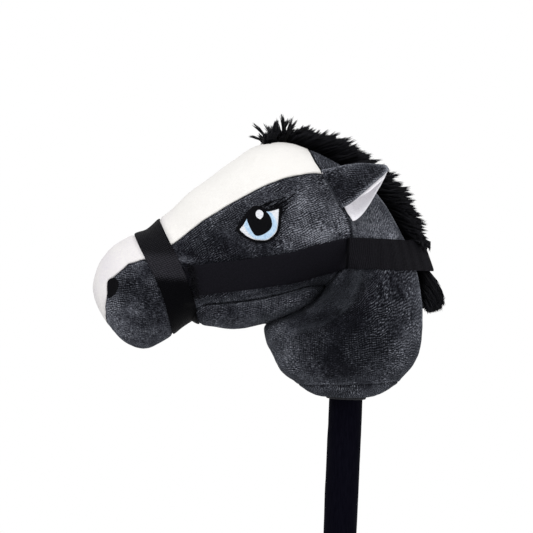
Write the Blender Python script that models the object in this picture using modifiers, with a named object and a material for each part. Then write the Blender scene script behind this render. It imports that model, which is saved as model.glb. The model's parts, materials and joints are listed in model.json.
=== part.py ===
"""Hobby horse: a stuffed plush head and neck on a sleeved wooden stick, wearing a webbing halter.

Units are metres. The stick stands on +Z through the origin, the underside of the foot is z = 0, the nose
points to -X and the horse's left side faces -Y. The stuffed body is one loft of cross-sections that run from
the tip of the nose, back over the poll and down to the base of the neck. A place on it is (u, v): u counts
cross-sections, and v is the angle round one, 0 on the crest, 90 degrees on the left side, 180 underneath.
"""

import math
from typing import NamedTuple

import bmesh
import bpy
from mathutils import Vector
from mathutils.bvhtree import BVHTree

# Stick, sleeve, foot and the fittings inside the neck
STICK_EXPOSED = 0.620
STICK_IN_NECK = 0.150
STICK_DIAMETER = 0.025
STICK_EDGE = 0.0015
SLEEVE_THICKNESS = 0.0014
SLEEVE_IN_NECK = 0.048
FOOT_HEIGHT = 0.034
FOOT_WALL = 0.0032
FOOT_SOLE = 0.006
FOOT_FLARE = 0.0022
FOOT_EDGE = 0.002
FOOT_FLARE_TOP = 0.012
CAP_HEIGHT = 0.018
CAP_WALL = 0.004
CAP_DOME = 0.006
CUFF_LENGTH = 0.036
CUFF_THICKNESS = 0.0018
TIE_WIDTH = 0.0048
TIE_THICKNESS = 0.0013
TIE_LATCH_WIDTH = 0.0060
TIE_LATCH_REACH = 0.0050
TIE_LATCH_HEIGHT = 0.0075
TIE_ABOVE_BASE = 0.024

# Cloth, seams and clearances
PLUSH_THICKNESS = 0.0022
LINING_THICKNESS = 0.0012
SEAM_GAP = 0.0004
FACE_SEAM_GAP = 0.0008
CLEARANCE = 0.0003
STRAP_GAP = 0.0006
FILL_GAP = 0.0009
NOSE_SLACK = 0.0024
JAW_GAP = 0.0005
RUNNING_GAP = 0.0011

# Halter webbing
WEBBING_WIDTH = 0.025
WEBBING_THICKNESS = 0.0015
NOSEBAND_TOP = (-0.1735, 0.1345)
NOSEBAND_BOTTOM = (-0.1400, 0.0570)
NOSEBAND_BOW = 0.0050
STRAP_SETTLE = 0.006
CHEEK_PATH = ((-0.1375, 0.0925), (-0.1140, 0.0970), (-0.0920, 0.1003), (-0.0500, 0.1086),
              (-0.0285, 0.1157), (-0.0062, 0.1219))
NECK_BAND_HEIGHT = 0.1220
NECK_BAND_CENTRE_X = 0.0020
BAND_REACH = 0.0145

# Mane: how far the pile stands off the crest, by cross-section, less where the neck band holds it down
MANE_HEIGHTS = ((11.15, 0.0120), (11.6, 0.0185), (12.2, 0.0200), (13.2, 0.0190), (14.4, 0.0215),
                (15.6, 0.0235), (16.15, 0.0215), (16.45, 0.0130), (17.25, 0.0115), (17.55, 0.0155),
                (17.9, 0.0180), (18.1, 0.0180), (18.3, 0.0150))
MANE_HALF_WIDTH = 0.0135
MANE_EVENNESS = 0.8
MANE_BACKING_HALF_WIDTH = 0.0070
MANE_BACKING_THICKNESS = 0.0010
MANE_BACKING_INSET = 0.1

# Ear: it is sewn along the face seam between two angles round the section, and lies back
EAR_TOP_ANGLE = 51.0
EAR_LOW_ANGLE = 94.0
EAR_LENGTH = 0.0568
EAR_RUN = (0.958, -0.215, 0.081)
EAR_ROOT_SHIFT = 0.0018
EAR_ARCH = 0.0039
EAR_FAR_SHARE = 1.018
EAR_NEAR_SHARE = 0.812
EAR_ROOT_SCOOP = 0.0045
EAR_SCOOP = 0.0085
EAR_SCOOP_SPAN = 0.91
EAR_SCOOP_EARLY = 0.8
EAR_ARCH_LATE = 1.3
EAR_CUP = 0.9
EAR_TAPER = 1.385
EAR_FAR_FULLNESS = 0.98
EAR_NEAR_FULLNESS = 0.746
EAR_POINT_SHARE = 0.25
EAR_ROUND = 112.0
EAR_END_SHARE = 0.945

# Embroidery, seen from the side: heights count from the neck's base
THREAD_HEIGHT = 0.0004
THREAD_GAP = 0.00025
EYE_SHAPE = ((-0.0975, 0.1380), (-0.0940, 0.1450), (-0.0880, 0.1535), (-0.0822, 0.1572), (-0.0740, 0.1545),
             (-0.0629, 0.1573), (-0.0622, 0.1473), (-0.0645, 0.1365), (-0.0690, 0.1305), (-0.0768, 0.1283),
             (-0.0850, 0.1300), (-0.0922, 0.1340))
EYE_OUTLINE = 0.0015
IRIS_CENTRE = (-0.0778, 0.1425)
IRIS_SIZE = (0.0118, 0.0124)
PUPIL_CENTRE = (-0.0795, 0.1437)
PUPIL_SIZE = (0.0098, 0.0108)
GLINT_CENTRE = (-0.0796, 0.1506)
GLINT_SIZE = (0.0031, 0.0035)
NOSTRIL_PLACE = (2.80, 84.0)
NOSTRIL_SIZE = (0.0042, 0.0088)
PATCH_SHARES = (0.0, 0.5, 1.0)


class Section(NamedTuple):
    """A cross-section seen from the side. Heights count from the neck's base. The lag is how far its middle
    stands behind the straight line between its top and its bottom."""

    top_x: float
    top_z: float
    bottom_x: float
    bottom_z: float
    half_width: float
    lag: float


NOSE_TIP = Section(-0.2192, 0.0816, -0.2192, 0.0816, 0.0, 0.0)
BODY = (
    NOSE_TIP,
    Section(-0.2172, 0.0970, -0.2133, 0.0657, 0.0160, 0.0),
    Section(-0.2130, 0.1074, -0.2043, 0.0531, 0.0260, 0.0),
    Section(-0.2033, 0.1193, -0.1905, 0.0395, 0.0345, 0.0),
    Section(-0.1917, 0.1266, -0.1741, 0.0338, 0.0390, 0.0),
    Section(-0.1825, 0.1304, -0.1590, 0.0400, 0.0392, 0.0),
    Section(-0.1730, 0.1345, -0.1410, 0.0560, 0.0378, 0.001),
    Section(-0.1598, 0.1480, -0.1240, 0.0655, 0.0405, 0.002),
    Section(-0.1399, 0.1680, -0.1032, 0.0662, 0.0470, 0.004),
    Section(-0.1197, 0.1841, -0.0828, 0.0679, 0.0525, 0.007),
    Section(-0.1038, 0.1967, -0.0643, 0.0730, 0.0560, 0.011),
    Section(-0.0865, 0.2086, -0.0476, 0.0805, 0.0582, 0.015),
    Section(-0.0644, 0.2142, -0.0343, 0.0870, 0.0592, 0.020),
    Section(-0.0412, 0.2090, -0.0262, 0.0900, 0.0596, 0.026),
    Section(-0.0109, 0.1956, -0.0310, 0.0830, 0.0602, 0.025),
    Section(0.0155, 0.1768, -0.0456, 0.0738, 0.0615, 0.026),
    Section(0.0371, 0.1479, -0.0622, 0.0645, 0.0632, 0.024),
    Section(0.0521, 0.1171, -0.0713, 0.0573, 0.0645, 0.016),
    Section(0.0608, 0.0851, -0.0704, 0.0460, 0.0648, 0.009),
    Section(0.0616, 0.0494, -0.0640, 0.0335, 0.0630, 0.004),
    Section(0.0560, 0.0302, -0.0560, 0.0198, 0.0560, 0.001),
    Section(0.0437, 0.0150, -0.0412, 0.0093, 0.0440, 0.0),
)
LAG_SKEW = 0.7
SIDE_ROUNDNESS = 0.85
FACE_SEAM = 13
NECK_END = len(BODY) - 1

# Half the angle that the white blaze covers, by cross-section
BLAZE_ANGLES = ((0.0, 180.0), (1.88, 180.0), (1.98, 134.0), (2.08, 112.0), (2.31, 97.0), (2.42, 80.0),
                (2.52, 71.0), (3.1, 67.0), (4.0, 57.0), (5.0, 58.5), (6.0, 62.0), (7.0, 64.5), (8.0, 61.0),
                (9.0, 59.0), (10.0, 59.3), (11.0, 60.8), (12.0, 59.8), (12.6, 56.0), (13.0, 53.0))


class Lobe(NamedTuple):
    """A cross-section of the jaw pad: centre line, half height and half width."""

    x: float
    z: float
    half_height: float
    half_width: float


JAW = (
    Lobe(-0.1370, 0.0700, 0.0, 0.0),
    Lobe(-0.1335, 0.0695, 0.0080, 0.0150),
    Lobe(-0.1220, 0.0690, 0.0125, 0.0270),
    Lobe(-0.1000, 0.0690, 0.0150, 0.0350),
    Lobe(-0.0780, 0.0725, 0.0150, 0.0390),
    Lobe(-0.0540, 0.0790, 0.0130, 0.0410),
    Lobe(-0.0330, 0.0870, 0.0090, 0.0380),
    Lobe(-0.0180, 0.0950, 0.0, 0.0),
)

# Short steps for directions on the surface, the start of lines cast on it, and merging
ANGLE_STEP = 1.0
SECTION_STEP = 0.02
TIP_REACH = 0.05
NOSE_START = 0.3
CAST_FROM = 0.25
MERGE = 1e-6
TURN_MERGE = 0.00005
SMOOTH_BELOW = 40.0

# How finely the solids are faceted
NOSE_ROWS = (0.0, 0.5, 1.0, 1.5, 1.88, 1.98, 2.08, 2.31, 2.42, 2.52, 3.1, 3.6)
NOSE_FILL_ROWS = (0.0, 0.5, 1.0, 1.5, 1.98, 2.52, 3.1, 3.6)
HEAD_ROWS = (4.0, 4.6, 5.2, 5.8, 6.4, 7.0, 7.6, 8.3, 9.0, 9.8, 10.6, 11.4, 12.2, 13.0)
NECK_ROWS = (13.0, 13.35, 13.7, 14.0, 14.5, 15.0, 15.6, 16.2, 17.0, 18.0, 19.0, 19.6, 20.3, 21.0)
SIDE_COLUMNS = 10
BLAZE_COLUMNS = 10
NECK_COLUMNS = 12
FILL_COLUMNS = 2 * NECK_COLUMNS
CUTTER_COLUMNS = 36
TURNED_STEPS = 24
BAND_STEPS = 40
BAND_COLUMNS = 5
STRAP_STEPS = 4
MANE_ROWS = 24
MANE_COLUMNS = 9
BACKING_COLUMNS = 4
EAR_ROWS = 9
EAR_COLUMNS = 11
EAR_STEP = 0.05
JAW_ROWS = 12
JAW_COLUMNS = 16
DOME_ROWS = 6
DISC_ROWS = 4
FLOOR_SHARES = (0.92, 0.6, 0.2)
OVAL_STEPS = 20
GLINT_STEPS = 12
NOSTRIL_STEPS = 16
CAST_STEPS = 96

STICK_RADIUS = STICK_DIAMETER / 2
SLEEVE_RADIUS = STICK_RADIUS + CLEARANCE + SLEEVE_THICKNESS
NECK_BASE = STICK_EXPOSED
STICK_BOTTOM = FOOT_SOLE + CLEARANCE
STICK_TOP = NECK_BASE + STICK_IN_NECK
FILL_DEPTH = PLUSH_THICKNESS + FILL_GAP
STRAP_TOP = STRAP_GAP + WEBBING_THICKNESS
LEFT = Vector((0.0, -1.0, 0.0))
UP = Vector((0.0, 0.0, 1.0))


def clear_scene():
    """Removes whatever the file holds."""
    for found in list(bpy.data.objects):
        bpy.data.objects.remove(found, do_unlink=True)


def collection(name):
    """A new collection in the scene."""
    made = bpy.data.collections.new(name)
    bpy.context.scene.collection.children.link(made)
    return made


def material(name, colour, roughness, metallic=0.0):
    """A plain Principled material."""
    made = bpy.data.materials.new(name)
    made.use_nodes = True
    shader = made.node_tree.nodes["Principled BSDF"]
    shader.inputs["Base Color"].default_value = (*colour, 1.0)
    shader.inputs["Roughness"].default_value = roughness
    shader.inputs["Metallic"].default_value = metallic
    return made


def add_object(name, points, faces, finish, group):
    """A mesh object from points and faces, its faces turned outwards."""
    mesh = bpy.data.meshes.new(name)
    mesh.from_pydata([tuple(point) for point in points], [], faces)
    shape = bmesh.new()
    shape.from_mesh(mesh)
    bmesh.ops.remove_doubles(shape, verts=shape.verts, dist=MERGE)
    bmesh.ops.recalc_face_normals(shape, faces=shape.faces)
    shape.to_mesh(mesh)
    shape.free()
    mesh.materials.append(finish)
    mesh.shade_smooth()
    mesh.set_sharp_from_angle(angle=math.radians(SMOOTH_BELOW))
    made = bpy.data.objects.new(name, mesh)
    group.objects.link(made)
    return made


def mirrored(source, name, group):
    """A copy of a left piece for the right side."""
    points = [(p.co.x, -p.co.y, p.co.z) for p in source.data.vertices]
    faces = [tuple(reversed(face.vertices)) for face in source.data.polygons]
    return add_object(name, points, faces, source.data.materials[0], group)


def turned(name, profile, finish, group):
    """A solid turned round Z from (radius, z) points that run down its outer side."""
    mesh = bpy.data.meshes.new(name)
    points = [(radius, 0.0, z) for radius, z in profile]
    closed = profile[0][0] > 0.0
    edges = [(i, i + 1) for i in range(len(points) - 1)]
    mesh.from_pydata(points, edges + [(len(points) - 1, 0)] * closed, [])
    mesh.materials.append(finish)
    made = bpy.data.objects.new(name, mesh)
    group.objects.link(made)
    screw = made.modifiers.new("Turn", "SCREW")
    screw.steps = screw.render_steps = TURNED_STEPS
    screw.use_merge_vertices = True
    screw.merge_threshold = TURN_MERGE
    screw.use_smooth_shade = False
    return made


def cut(target, cutter):
    """Subtracts a cutter from a piece."""
    step = target.modifiers.new("Cut " + cutter.name, "BOOLEAN")
    step.operation = "DIFFERENCE"
    step.solver = "EXACT"
    step.object = cutter
    return target


def as_cutter(piece):
    """Hides a helper from renders and from the build."""
    piece.hide_render = True
    piece.display_type = "WIRE"
    return piece


# The stuffed body's surface
def through(before, start, end, after, share):
    """A Catmull-Rom curve between start and end."""
    straight = end - start
    lead = (end - before) / 2
    trail = (after - start) / 2
    cubic = lead + trail - 2 * straight
    square = 3 * straight - 2 * lead - trail
    return start + share * (lead + share * (square + share * cubic))


def section_at(u):
    """The body's cross-section at any u, with the nose rounded off through its tip."""
    low = min(max(int(math.floor(u)), 0), NECK_END - 1)
    first = BODY[1]
    beyond_tip = Section(first.bottom_x, first.bottom_z, first.top_x, first.top_z, -first.half_width, 0.0)
    last, second = BODY[-1], BODY[-2]
    beyond_neck = Section(*(2 * a - b for a, b in zip(last, second)))
    before = BODY[low - 1] if low else beyond_tip
    after = BODY[low + 2] if low + 2 <= NECK_END else beyond_neck
    return Section(*(through(*four, u - low) for four in zip(before, BODY[low], BODY[low + 1], after)))


def along_body(u):
    """The direction square to a cross-section, towards the neck's base."""
    part = section_at(max(u, NOSE_START))
    chord = Vector((part.top_x - part.bottom_x, 0.0, part.top_z - part.bottom_z)).normalized()
    return Vector((chord.z, 0.0, -chord.x))


def surface(u, v):
    """A point of the plush's outer face. v is in degrees, and past 180 is the right side."""
    part = section_at(u)
    angle = math.radians(v)
    top = Vector((part.top_x, 0.0, part.top_z))
    bottom = Vector((part.bottom_x, 0.0, part.bottom_z))
    side = math.sin(angle)
    width = part.half_width * math.copysign(abs(side) ** SIDE_ROUNDNESS, side)
    lag = part.lag * side * side * (1 - LAG_SKEW * math.cos(angle))
    centre = (top + bottom) / 2 + (top - bottom) / 2 * math.cos(angle)
    return centre + along_body(u) * lag + LEFT * width + UP * NECK_BASE


def outward(u, v):
    """The outward normal of the plush at (u, v)."""
    if u < TIP_REACH:
        return (surface(0.0, 0.0) - (surface(1.0, 0.0) + surface(1.0, 180.0)) / 2).normalized()
    across = surface(u, v + ANGLE_STEP) - surface(u, v - ANGLE_STEP)
    along = surface(u + SECTION_STEP, v) - surface(u - SECTION_STEP, v)
    return across.cross(along).normalized()


def skin(u, v, depth=0.0, shift=0.0):
    """A point under the plush's face by depth, and moved along the body by shift."""
    return surface(u, v) - outward(u, v) * depth + along_body(u) * shift


def angle_for(u, v, distance):
    """The angle that spans a distance on the surface at (u, v)."""
    span = (surface(u, v + ANGLE_STEP) - surface(u, v - ANGLE_STEP)).length
    return distance * 2 * ANGLE_STEP / max(span, MERGE)


def between(pairs, u):
    """The value at u on straight lines through (u, value) pairs."""
    for (u_a, a), (u_b, b) in zip(pairs, pairs[1:]):
        if u <= u_b:
            return a + (b - a) * (u - u_a) / (u_b - u_a)
    return pairs[-1][1]


def blaze_angle(u):
    """Half the angle that the blaze covers at u."""
    return between(BLAZE_ANGLES, u)


def blaze_gap(u):
    """Half the seam's gap beside the blaze as an angle at u, wider where the seam runs across the body."""
    edge = blaze_angle(u)
    turn = (blaze_angle(u + TIP_REACH) - blaze_angle(u - TIP_REACH)) / angle_for(u, edge, 1.0)
    travel = (surface(u + TIP_REACH, edge) - surface(u - TIP_REACH, edge)).length
    return angle_for(u, edge, SEAM_GAP / 2) * math.hypot(1.0, turn / travel)


def spread(low, high, count):
    """Evenly spaced values from low to high, both included."""
    return [low + (high - low) * i / (count - 1) for i in range(count)]


def halves(a, b, c, d, other_way=False):
    """The two triangles of a four-cornered facet, one where two of its corners are the same point."""
    pair = ((a, b, d), (b, c, d)) if other_way else ((a, b, c), (a, c, d))
    return [corners for corners in pair if len(set(corners)) == 3]


def thick_grid(outer_rows, inner_rows, other_way=False):
    """Points and faces of a shell between two matching grids. Rows that close on themselves are joined."""
    numbers, outer, inner = {}, [], []
    grid = []
    for outer_row, inner_row in zip(outer_rows, inner_rows):
        line = []
        for point, partner in zip(outer_row, inner_row):
            key = tuple(round(value, 7) for value in point)
            if key not in numbers:
                numbers[key] = len(outer)
                outer.append(point)
                inner.append(partner)
            line.append(numbers[key])
        grid.append(line)
    faces = []
    for row, following in zip(grid, grid[1:]):
        for a, b, c, d in zip(row, row[1:], following[1:], following):
            faces += halves(a, b, c, d, other_way)
    return thicken(outer, inner, faces)


def thicken(outer, inner, faces):
    """Points and faces of a closed shell over matching outer and inner points."""
    count = len(outer)
    sides = {edge for face in faces for edge in zip(face, face[1:] + face[:1])}
    rims = [(b, a, a + count, b + count) for a, b in sides if (b, a) not in sides]
    backs = [tuple(i + count for i in reversed(face)) for face in faces]
    return outer + inner, faces + backs + rims


def panel(name, rows, finish, group, other_way=False):
    """A sewn panel over rows of (u, v, shift)."""
    outer = [[skin(u, v, 0.0, shift) for u, v, shift in row] for row in rows]
    inner = [[skin(u, v, PLUSH_THICKNESS, shift) for u, v, shift in row] for row in rows]
    return add_object(name, *thick_grid(outer, inner, other_way), finish, group)


def seam_shift(u, side):
    """Half a seam's gap at the face seam, nothing elsewhere."""
    return side * FACE_SEAM_GAP / 2 if u == FACE_SEAM else 0.0


def blaze_panel(finish, group):
    """The white gusset from under the nose to the poll."""
    rows = []
    for u in NOSE_ROWS + HEAD_ROWS:
        edge = blaze_angle(u)
        if edge < 180.0:
            edge -= blaze_gap(u)
        rows.append([(u, v, seam_shift(u, -1)) for v in spread(-edge, edge, BLAZE_COLUMNS + 1)])
    return panel("blaze_panel", rows, finish, group)


def face_panel(finish, group):
    """The left side of the face, from the blaze's edge to the seam under the chin."""
    rows = []
    for u in NOSE_ROWS + HEAD_ROWS:
        if blaze_angle(u) == 180.0:
            continue
        edge = blaze_angle(u)
        top = edge + blaze_gap(u)
        bottom = 180.0 - angle_for(u, 180.0, SEAM_GAP / 2)
        rows.append([(u, v, seam_shift(u, -1)) for v in spread(top, bottom, SIDE_COLUMNS + 1)])
    return panel("face_panel_left", rows, finish, group)


def neck_panel(finish, group):
    """The left side of the neck, from the crest to the throat."""
    rows = []
    for u in NECK_ROWS:
        top = angle_for(u, 0.0, SEAM_GAP / 2)
        bottom = 180.0 - angle_for(u, 180.0, SEAM_GAP / 2)
        rows.append([(u, v, seam_shift(u, 1)) for v in spread(top, bottom, NECK_COLUMNS + 1)])
    return panel("neck_panel_left", rows, finish, group, other_way=True)


def base_point(share, v, depth, gap=0.0):
    """A point of the base disc: share 0 on the stick's hole, 1 on the seam round the neck's end, where
    the disc and the neck meet in a mitre."""
    rim = skin(NECK_END, v) + along_body(NECK_END) * gap
    hole = SLEEVE_RADIUS + CLEARANCE
    flat = Vector((rim.x, rim.y, 0.0))
    start = flat.normalized() * hole
    place = start + (flat - start) * share
    rise = (rim.z - NECK_BASE) * share * share
    tilt = 2 * (rim.z - NECK_BASE) * share / (flat.length - hole)
    square = (flat.normalized() * tilt - UP).normalized()
    normal = square.lerp(outward(NECK_END, v), share ** 3)
    return Vector((place.x, place.y, NECK_BASE + rise)) - normal * depth


def base_disc(finish, group):
    """The round panel under the neck, with the hole for the stick."""
    shares = spread(0.0, 1.0, DISC_ROWS)
    angles = spread(0.0, 360.0, 2 * NECK_COLUMNS + 1)
    outer = [[base_point(share, v, 0.0, SEAM_GAP) for v in angles] for share in shares]
    inner = [[base_point(share, v, PLUSH_THICKNESS, SEAM_GAP) for v in angles] for share in shares]
    return add_object("base_disc", *thick_grid(outer, inner), finish, group)


def ladder(loop):
    """Faces that close a loop whose two halves mirror each other."""
    half = len(loop) // 2
    faces = []
    for i in range(half):
        corners = list(dict.fromkeys((loop[i], loop[i + 1], loop[-i - 1], loop[-i % len(loop)])))
        faces.append(tuple(corners))
    return [face for face in faces if len(face) > 2]


def lofted(loops, cap_start=False, cap_end=False, other_way=False):
    """Points and faces of a solid through closed loops, closed by ladders where asked."""
    count = len(loops[0])
    points = [point for loop in loops for point in loop]
    faces = []
    for row in range(len(loops) - 1):
        for i in range(count):
            after = (i + 1) % count
            low, high = row * count, (row + 1) * count
            faces += halves(low + i, low + after, high + after, high + i, (2 * i >= count) != other_way)
    if cap_start:
        faces += ladder(list(range(count)))
    if cap_end:
        start = (len(loops) - 1) * count
        faces += ladder(list(range(start, start + count)))
    return points, faces


def body_loop(u, depth, shift=0.0, columns=FILL_COLUMNS):
    """One closed loop round the body at a depth under its face."""
    return [skin(u, 360.0 * i / columns, depth, shift) for i in range(columns)]


def head_stuffing(finish, group, bore):
    """The filling of the head, with room for the top of the stick."""
    loops = [body_loop(u, FILL_DEPTH + NOSE_SLACK) for u in NOSE_FILL_ROWS]
    loops += [body_loop(u, FILL_DEPTH) for u in HEAD_ROWS[:-1]]
    loops.append(body_loop(FACE_SEAM, FILL_DEPTH, -FACE_SEAM_GAP / 2))
    made = add_object("head_stuffing", *lofted(loops, cap_end=True), finish, group)
    return cut(made, bore)


def neck_stuffing(finish, group, bore):
    """The filling of the neck, bored for the stick and its fittings."""
    loops = [body_loop(FACE_SEAM, FILL_DEPTH, FACE_SEAM_GAP / 2)]
    loops += [body_loop(u, FILL_DEPTH) for u in NECK_ROWS[1:-1]]
    angles = [360.0 * i / FILL_COLUMNS for i in range(FILL_COLUMNS)]
    for share in FLOOR_SHARES:
        loops.append([base_point(share, v, FILL_DEPTH, SEAM_GAP) for v in angles])
    made = add_object("neck_stuffing", *lofted(loops, True, True, other_way=True), finish, group)
    return cut(made, bore)


def jaw_loops(inset):
    """Loops of the jaw pad, drawn in all round by an inset."""
    first, second, last, before_last = JAW[0], JAW[1], JAW[-1], JAW[-2]
    mirror_front = Lobe(second.x, second.z, -second.half_height, -second.half_width)
    mirror_back = Lobe(before_last.x, before_last.z, -before_last.half_height, -before_last.half_width)
    line = (mirror_front,) + JAW + (mirror_back,)
    loops = []
    for i in range(JAW_ROWS):
        place = (len(JAW) - 1) * i / (JAW_ROWS - 1)
        low = min(int(place), len(JAW) - 2)
        part = Lobe(*(through(*four, place - low) for four in zip(*line[low:low + 4])))
        middle = (first.x + last.x) / 2
        x = part.x + (middle - part.x) * inset / ((last.x - first.x) / 2)
        height = max(part.half_height - inset, 0.0)
        width = max(part.half_width - inset, 0.0)
        if i in (0, JAW_ROWS - 1):
            height = width = 0.0
        angles = [2 * math.pi * k / JAW_COLUMNS for k in range(JAW_COLUMNS)]
        loops.append([Vector((x, -width * math.sin(a), NECK_BASE + part.z + height * math.cos(a)))
                      for a in angles])
    return loops


def jaw_shape(name, inset, finish, group):
    """The jaw pad's closed form."""
    return add_object(name, *lofted(jaw_loops(inset)), finish, group)


class Caster:
    """Finds places on the plush by looking along straight lines, so that what is sewn on follows it."""

    def __init__(self, more=()):
        points, faces = [], []
        rows = spread(0.0, NECK_END, CAST_STEPS)
        for u in rows:
            points += [surface(u, 360.0 * i / CAST_STEPS) for i in range(CAST_STEPS)]
        for row in range(len(rows) - 1):
            for i in range(CAST_STEPS):
                after = (i + 1) % CAST_STEPS
                low, high = row * CAST_STEPS, (row + 1) * CAST_STEPS
                faces.append((low + i, low + after, high + after, high + i))
        for extra_points, extra_faces in more:
            faces += [tuple(i + len(points) for i in face) for face in extra_faces]
            points = points + list(extra_points)
        self.tree = BVHTree.FromPolygons(points, faces)

    def onto(self, start, direction):
        """The point where a line first meets the plush."""
        return self.tree.ray_cast(start, direction)[0]

    def from_left(self, x, z):
        """The point of the plush that the side view shows at (x, z)."""
        return self.onto(Vector((x, -CAST_FROM, z)), -LEFT)


def side_point(place):
    """A point of the side view, above the neck's base, in space."""
    return Vector((place[0], 0.0, place[1] + NECK_BASE))


def strip(name, frames, low, high, finish, group):
    """A band whose inner and outer faces lie low and high above points found on the surface."""
    inner = [[point + normal * low for point, normal in row] for row in frames]
    outer = [[point + normal * high for point, normal in row] for row in frames]
    return add_object(name, *thick_grid(outer, inner), finish, group)


def with_normals(grid, outward_hint):
    """(point, normal) for each point of a grid, with normals from its neighbours and not from facets."""
    rows, columns = len(grid), len(grid[0])
    framed = []
    for i, row in enumerate(grid):
        line = []
        for k, point in enumerate(row):
            along = grid[min(i + 1, rows - 1)][k] - grid[max(i - 1, 0)][k]
            across = row[min(k + 1, columns - 1)] - row[max(k - 1, 0)]
            normal = along.cross(across).normalized()
            if normal.dot(outward_hint(point)) < 0:
                normal = -normal
            line.append((point, normal))
        framed.append(line)
    return framed


# Stick and fittings
def stick_pieces(finishes, group, cutters):
    """The pole, its sleeve, the foot, the inner cap, the cuff and its tie. Returns the bore for them all."""
    edge = STICK_EDGE
    radius = STICK_RADIUS
    turned("stick", ((0.0, STICK_TOP), (radius - edge, STICK_TOP), (radius, STICK_TOP - edge),
                     (radius, STICK_BOTTOM + edge), (radius - edge, STICK_BOTTOM), (0.0, STICK_BOTTOM)),
           finishes["wood"], group)
    inner = radius + CLEARANCE
    sleeve_top = NECK_BASE + SLEEVE_IN_NECK
    turned("stick_sleeve", ((inner, sleeve_top), (SLEEVE_RADIUS, sleeve_top),
                            (SLEEVE_RADIUS, STICK_BOTTOM), (inner, STICK_BOTTOM)),
           finishes["sleeve"], group)
    socket = SLEEVE_RADIUS + CLEARANCE
    wall = socket + FOOT_WALL
    flare = wall + FOOT_FLARE
    turned("foot_cap", ((socket, FOOT_HEIGHT), (wall - FOOT_EDGE, FOOT_HEIGHT),
                        (wall, FOOT_HEIGHT - FOOT_EDGE), (wall, FOOT_FLARE_TOP),
                        (flare, FOOT_SOLE), (flare, FOOT_EDGE), (flare - FOOT_EDGE, 0.0),
                        (0.0, 0.0), (0.0, FOOT_SOLE), (socket, FOOT_SOLE)),
           finishes["rubber"], group)
    cap_seat = STICK_TOP + CLEARANCE
    cap_rim = cap_seat - CAP_HEIGHT
    cap_wall = inner + CAP_WALL
    crown = cap_seat + CAP_WALL
    dome = [(cap_wall * math.sin(a), crown + CAP_DOME * (math.cos(a) - 1))
            for a in spread(0.0, math.pi / 2, DOME_ROWS)]
    turned("top_cap", dome + [(cap_wall, cap_rim), (inner, cap_rim), (inner, cap_seat), (0.0, cap_seat)],
           finishes["plastic"], group)
    cuff_bottom = NECK_BASE + PLUSH_THICKNESS + CLEARANCE
    cuff_top = cuff_bottom + CUFF_LENGTH
    cuff_inner = SLEEVE_RADIUS + CLEARANCE
    cuff_outer = cuff_inner + CUFF_THICKNESS
    turned("inner_cuff", ((cuff_inner, cuff_top), (cuff_outer, cuff_top), (cuff_outer, cuff_bottom),
                          (cuff_inner, cuff_bottom)), finishes["backing"], group)
    tie_low = NECK_BASE + TIE_ABOVE_BASE
    tie_high = tie_low + TIE_WIDTH
    tie_inner = cuff_outer + CLEARANCE
    tie_outer = tie_inner + TIE_THICKNESS
    tie_middle = (tie_low + tie_high) / 2
    tie = turned("cable_tie", ((tie_inner, tie_high), (tie_outer, tie_high), (tie_outer, tie_low),
                               (tie_inner, tie_low)), finishes["plastic"], group)
    latch_middle = (tie_inner + tie_outer + TIE_LATCH_REACH) / 2
    latch = add_box("tie_latch", (TIE_LATCH_WIDTH, TIE_LATCH_REACH, TIE_LATCH_HEIGHT),
                    (0.0, latch_middle, tie_middle), finishes["plastic"], cutters)
    join = tie.modifiers.new("Latch", "BOOLEAN")
    join.operation = "UNION"
    join.solver = "EXACT"
    join.object = latch
    groove = tie_outer + TIE_LATCH_REACH + CLEARANCE
    half_latch = TIE_LATCH_HEIGHT / 2 + CLEARANCE
    bore = [(0.0, crown + CLEARANCE)]
    bore += [(r + CLEARANCE, z + CLEARANCE) for r, z in dome[1:]]
    bore += [(cap_wall + CLEARANCE, cap_rim - CLEARANCE), (inner, cap_rim - CLEARANCE),
             (inner, sleeve_top + CLEARANCE), (SLEEVE_RADIUS + CLEARANCE, sleeve_top + CLEARANCE),
             (SLEEVE_RADIUS + CLEARANCE, cuff_top + CLEARANCE),
             (cuff_outer + CLEARANCE, cuff_top + CLEARANCE),
             (cuff_outer + CLEARANCE, tie_middle + half_latch), (groove, tie_middle + half_latch),
             (groove, tie_middle - half_latch), (cuff_outer + CLEARANCE, tie_middle - half_latch),
             (cuff_outer + CLEARANCE, NECK_BASE - CAP_HEIGHT), (0.0, NECK_BASE - CAP_HEIGHT)]
    return as_cutter(turned("stick_bore", bore, finishes["wood"], cutters))


def add_box(name, size, centre, finish, group):
    """A box by its size and centre, as a helper for cutting or joining."""
    mesh = bpy.data.meshes.new(name)
    shape = bmesh.new()
    bmesh.ops.create_cube(shape, size=1.0)
    bmesh.ops.scale(shape, vec=size, verts=shape.verts)
    bmesh.ops.translate(shape, vec=centre, verts=shape.verts)
    shape.to_mesh(mesh)
    shape.free()
    mesh.materials.append(finish)
    made = bpy.data.objects.new(name, mesh)
    group.objects.link(made)
    return as_cutter(made)


# Mane
def crest_angle(u, distance):
    """The angle at which the plush at u lies a distance to the left of the crest."""
    share = min(distance / section_at(u).half_width, 1.0)
    return math.degrees(math.asin(share ** (1 / SIDE_ROUNDNESS)))


def mane_loop(u):
    """One loop of the pile's solid: its foot on the plush, then the arch over the crest."""
    reach = crest_angle(u, MANE_HALF_WIDTH)
    foot = 2 * CLEARANCE + MANE_BACKING_THICKNESS
    under = [skin(u, v, -foot) for v in spread(-reach, reach, MANE_COLUMNS)]
    height = between(MANE_HEIGHTS, u)
    over = []
    for share in spread(1.0, -1.0, MANE_COLUMNS)[1:-1]:
        v = reach * math.copysign(abs(share) ** MANE_EVENNESS, share)
        rise = foot + (height - foot) * math.sqrt(max(1 - share * share, 0.0))
        over.append(skin(u, v, -rise))
    return under + over


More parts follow.
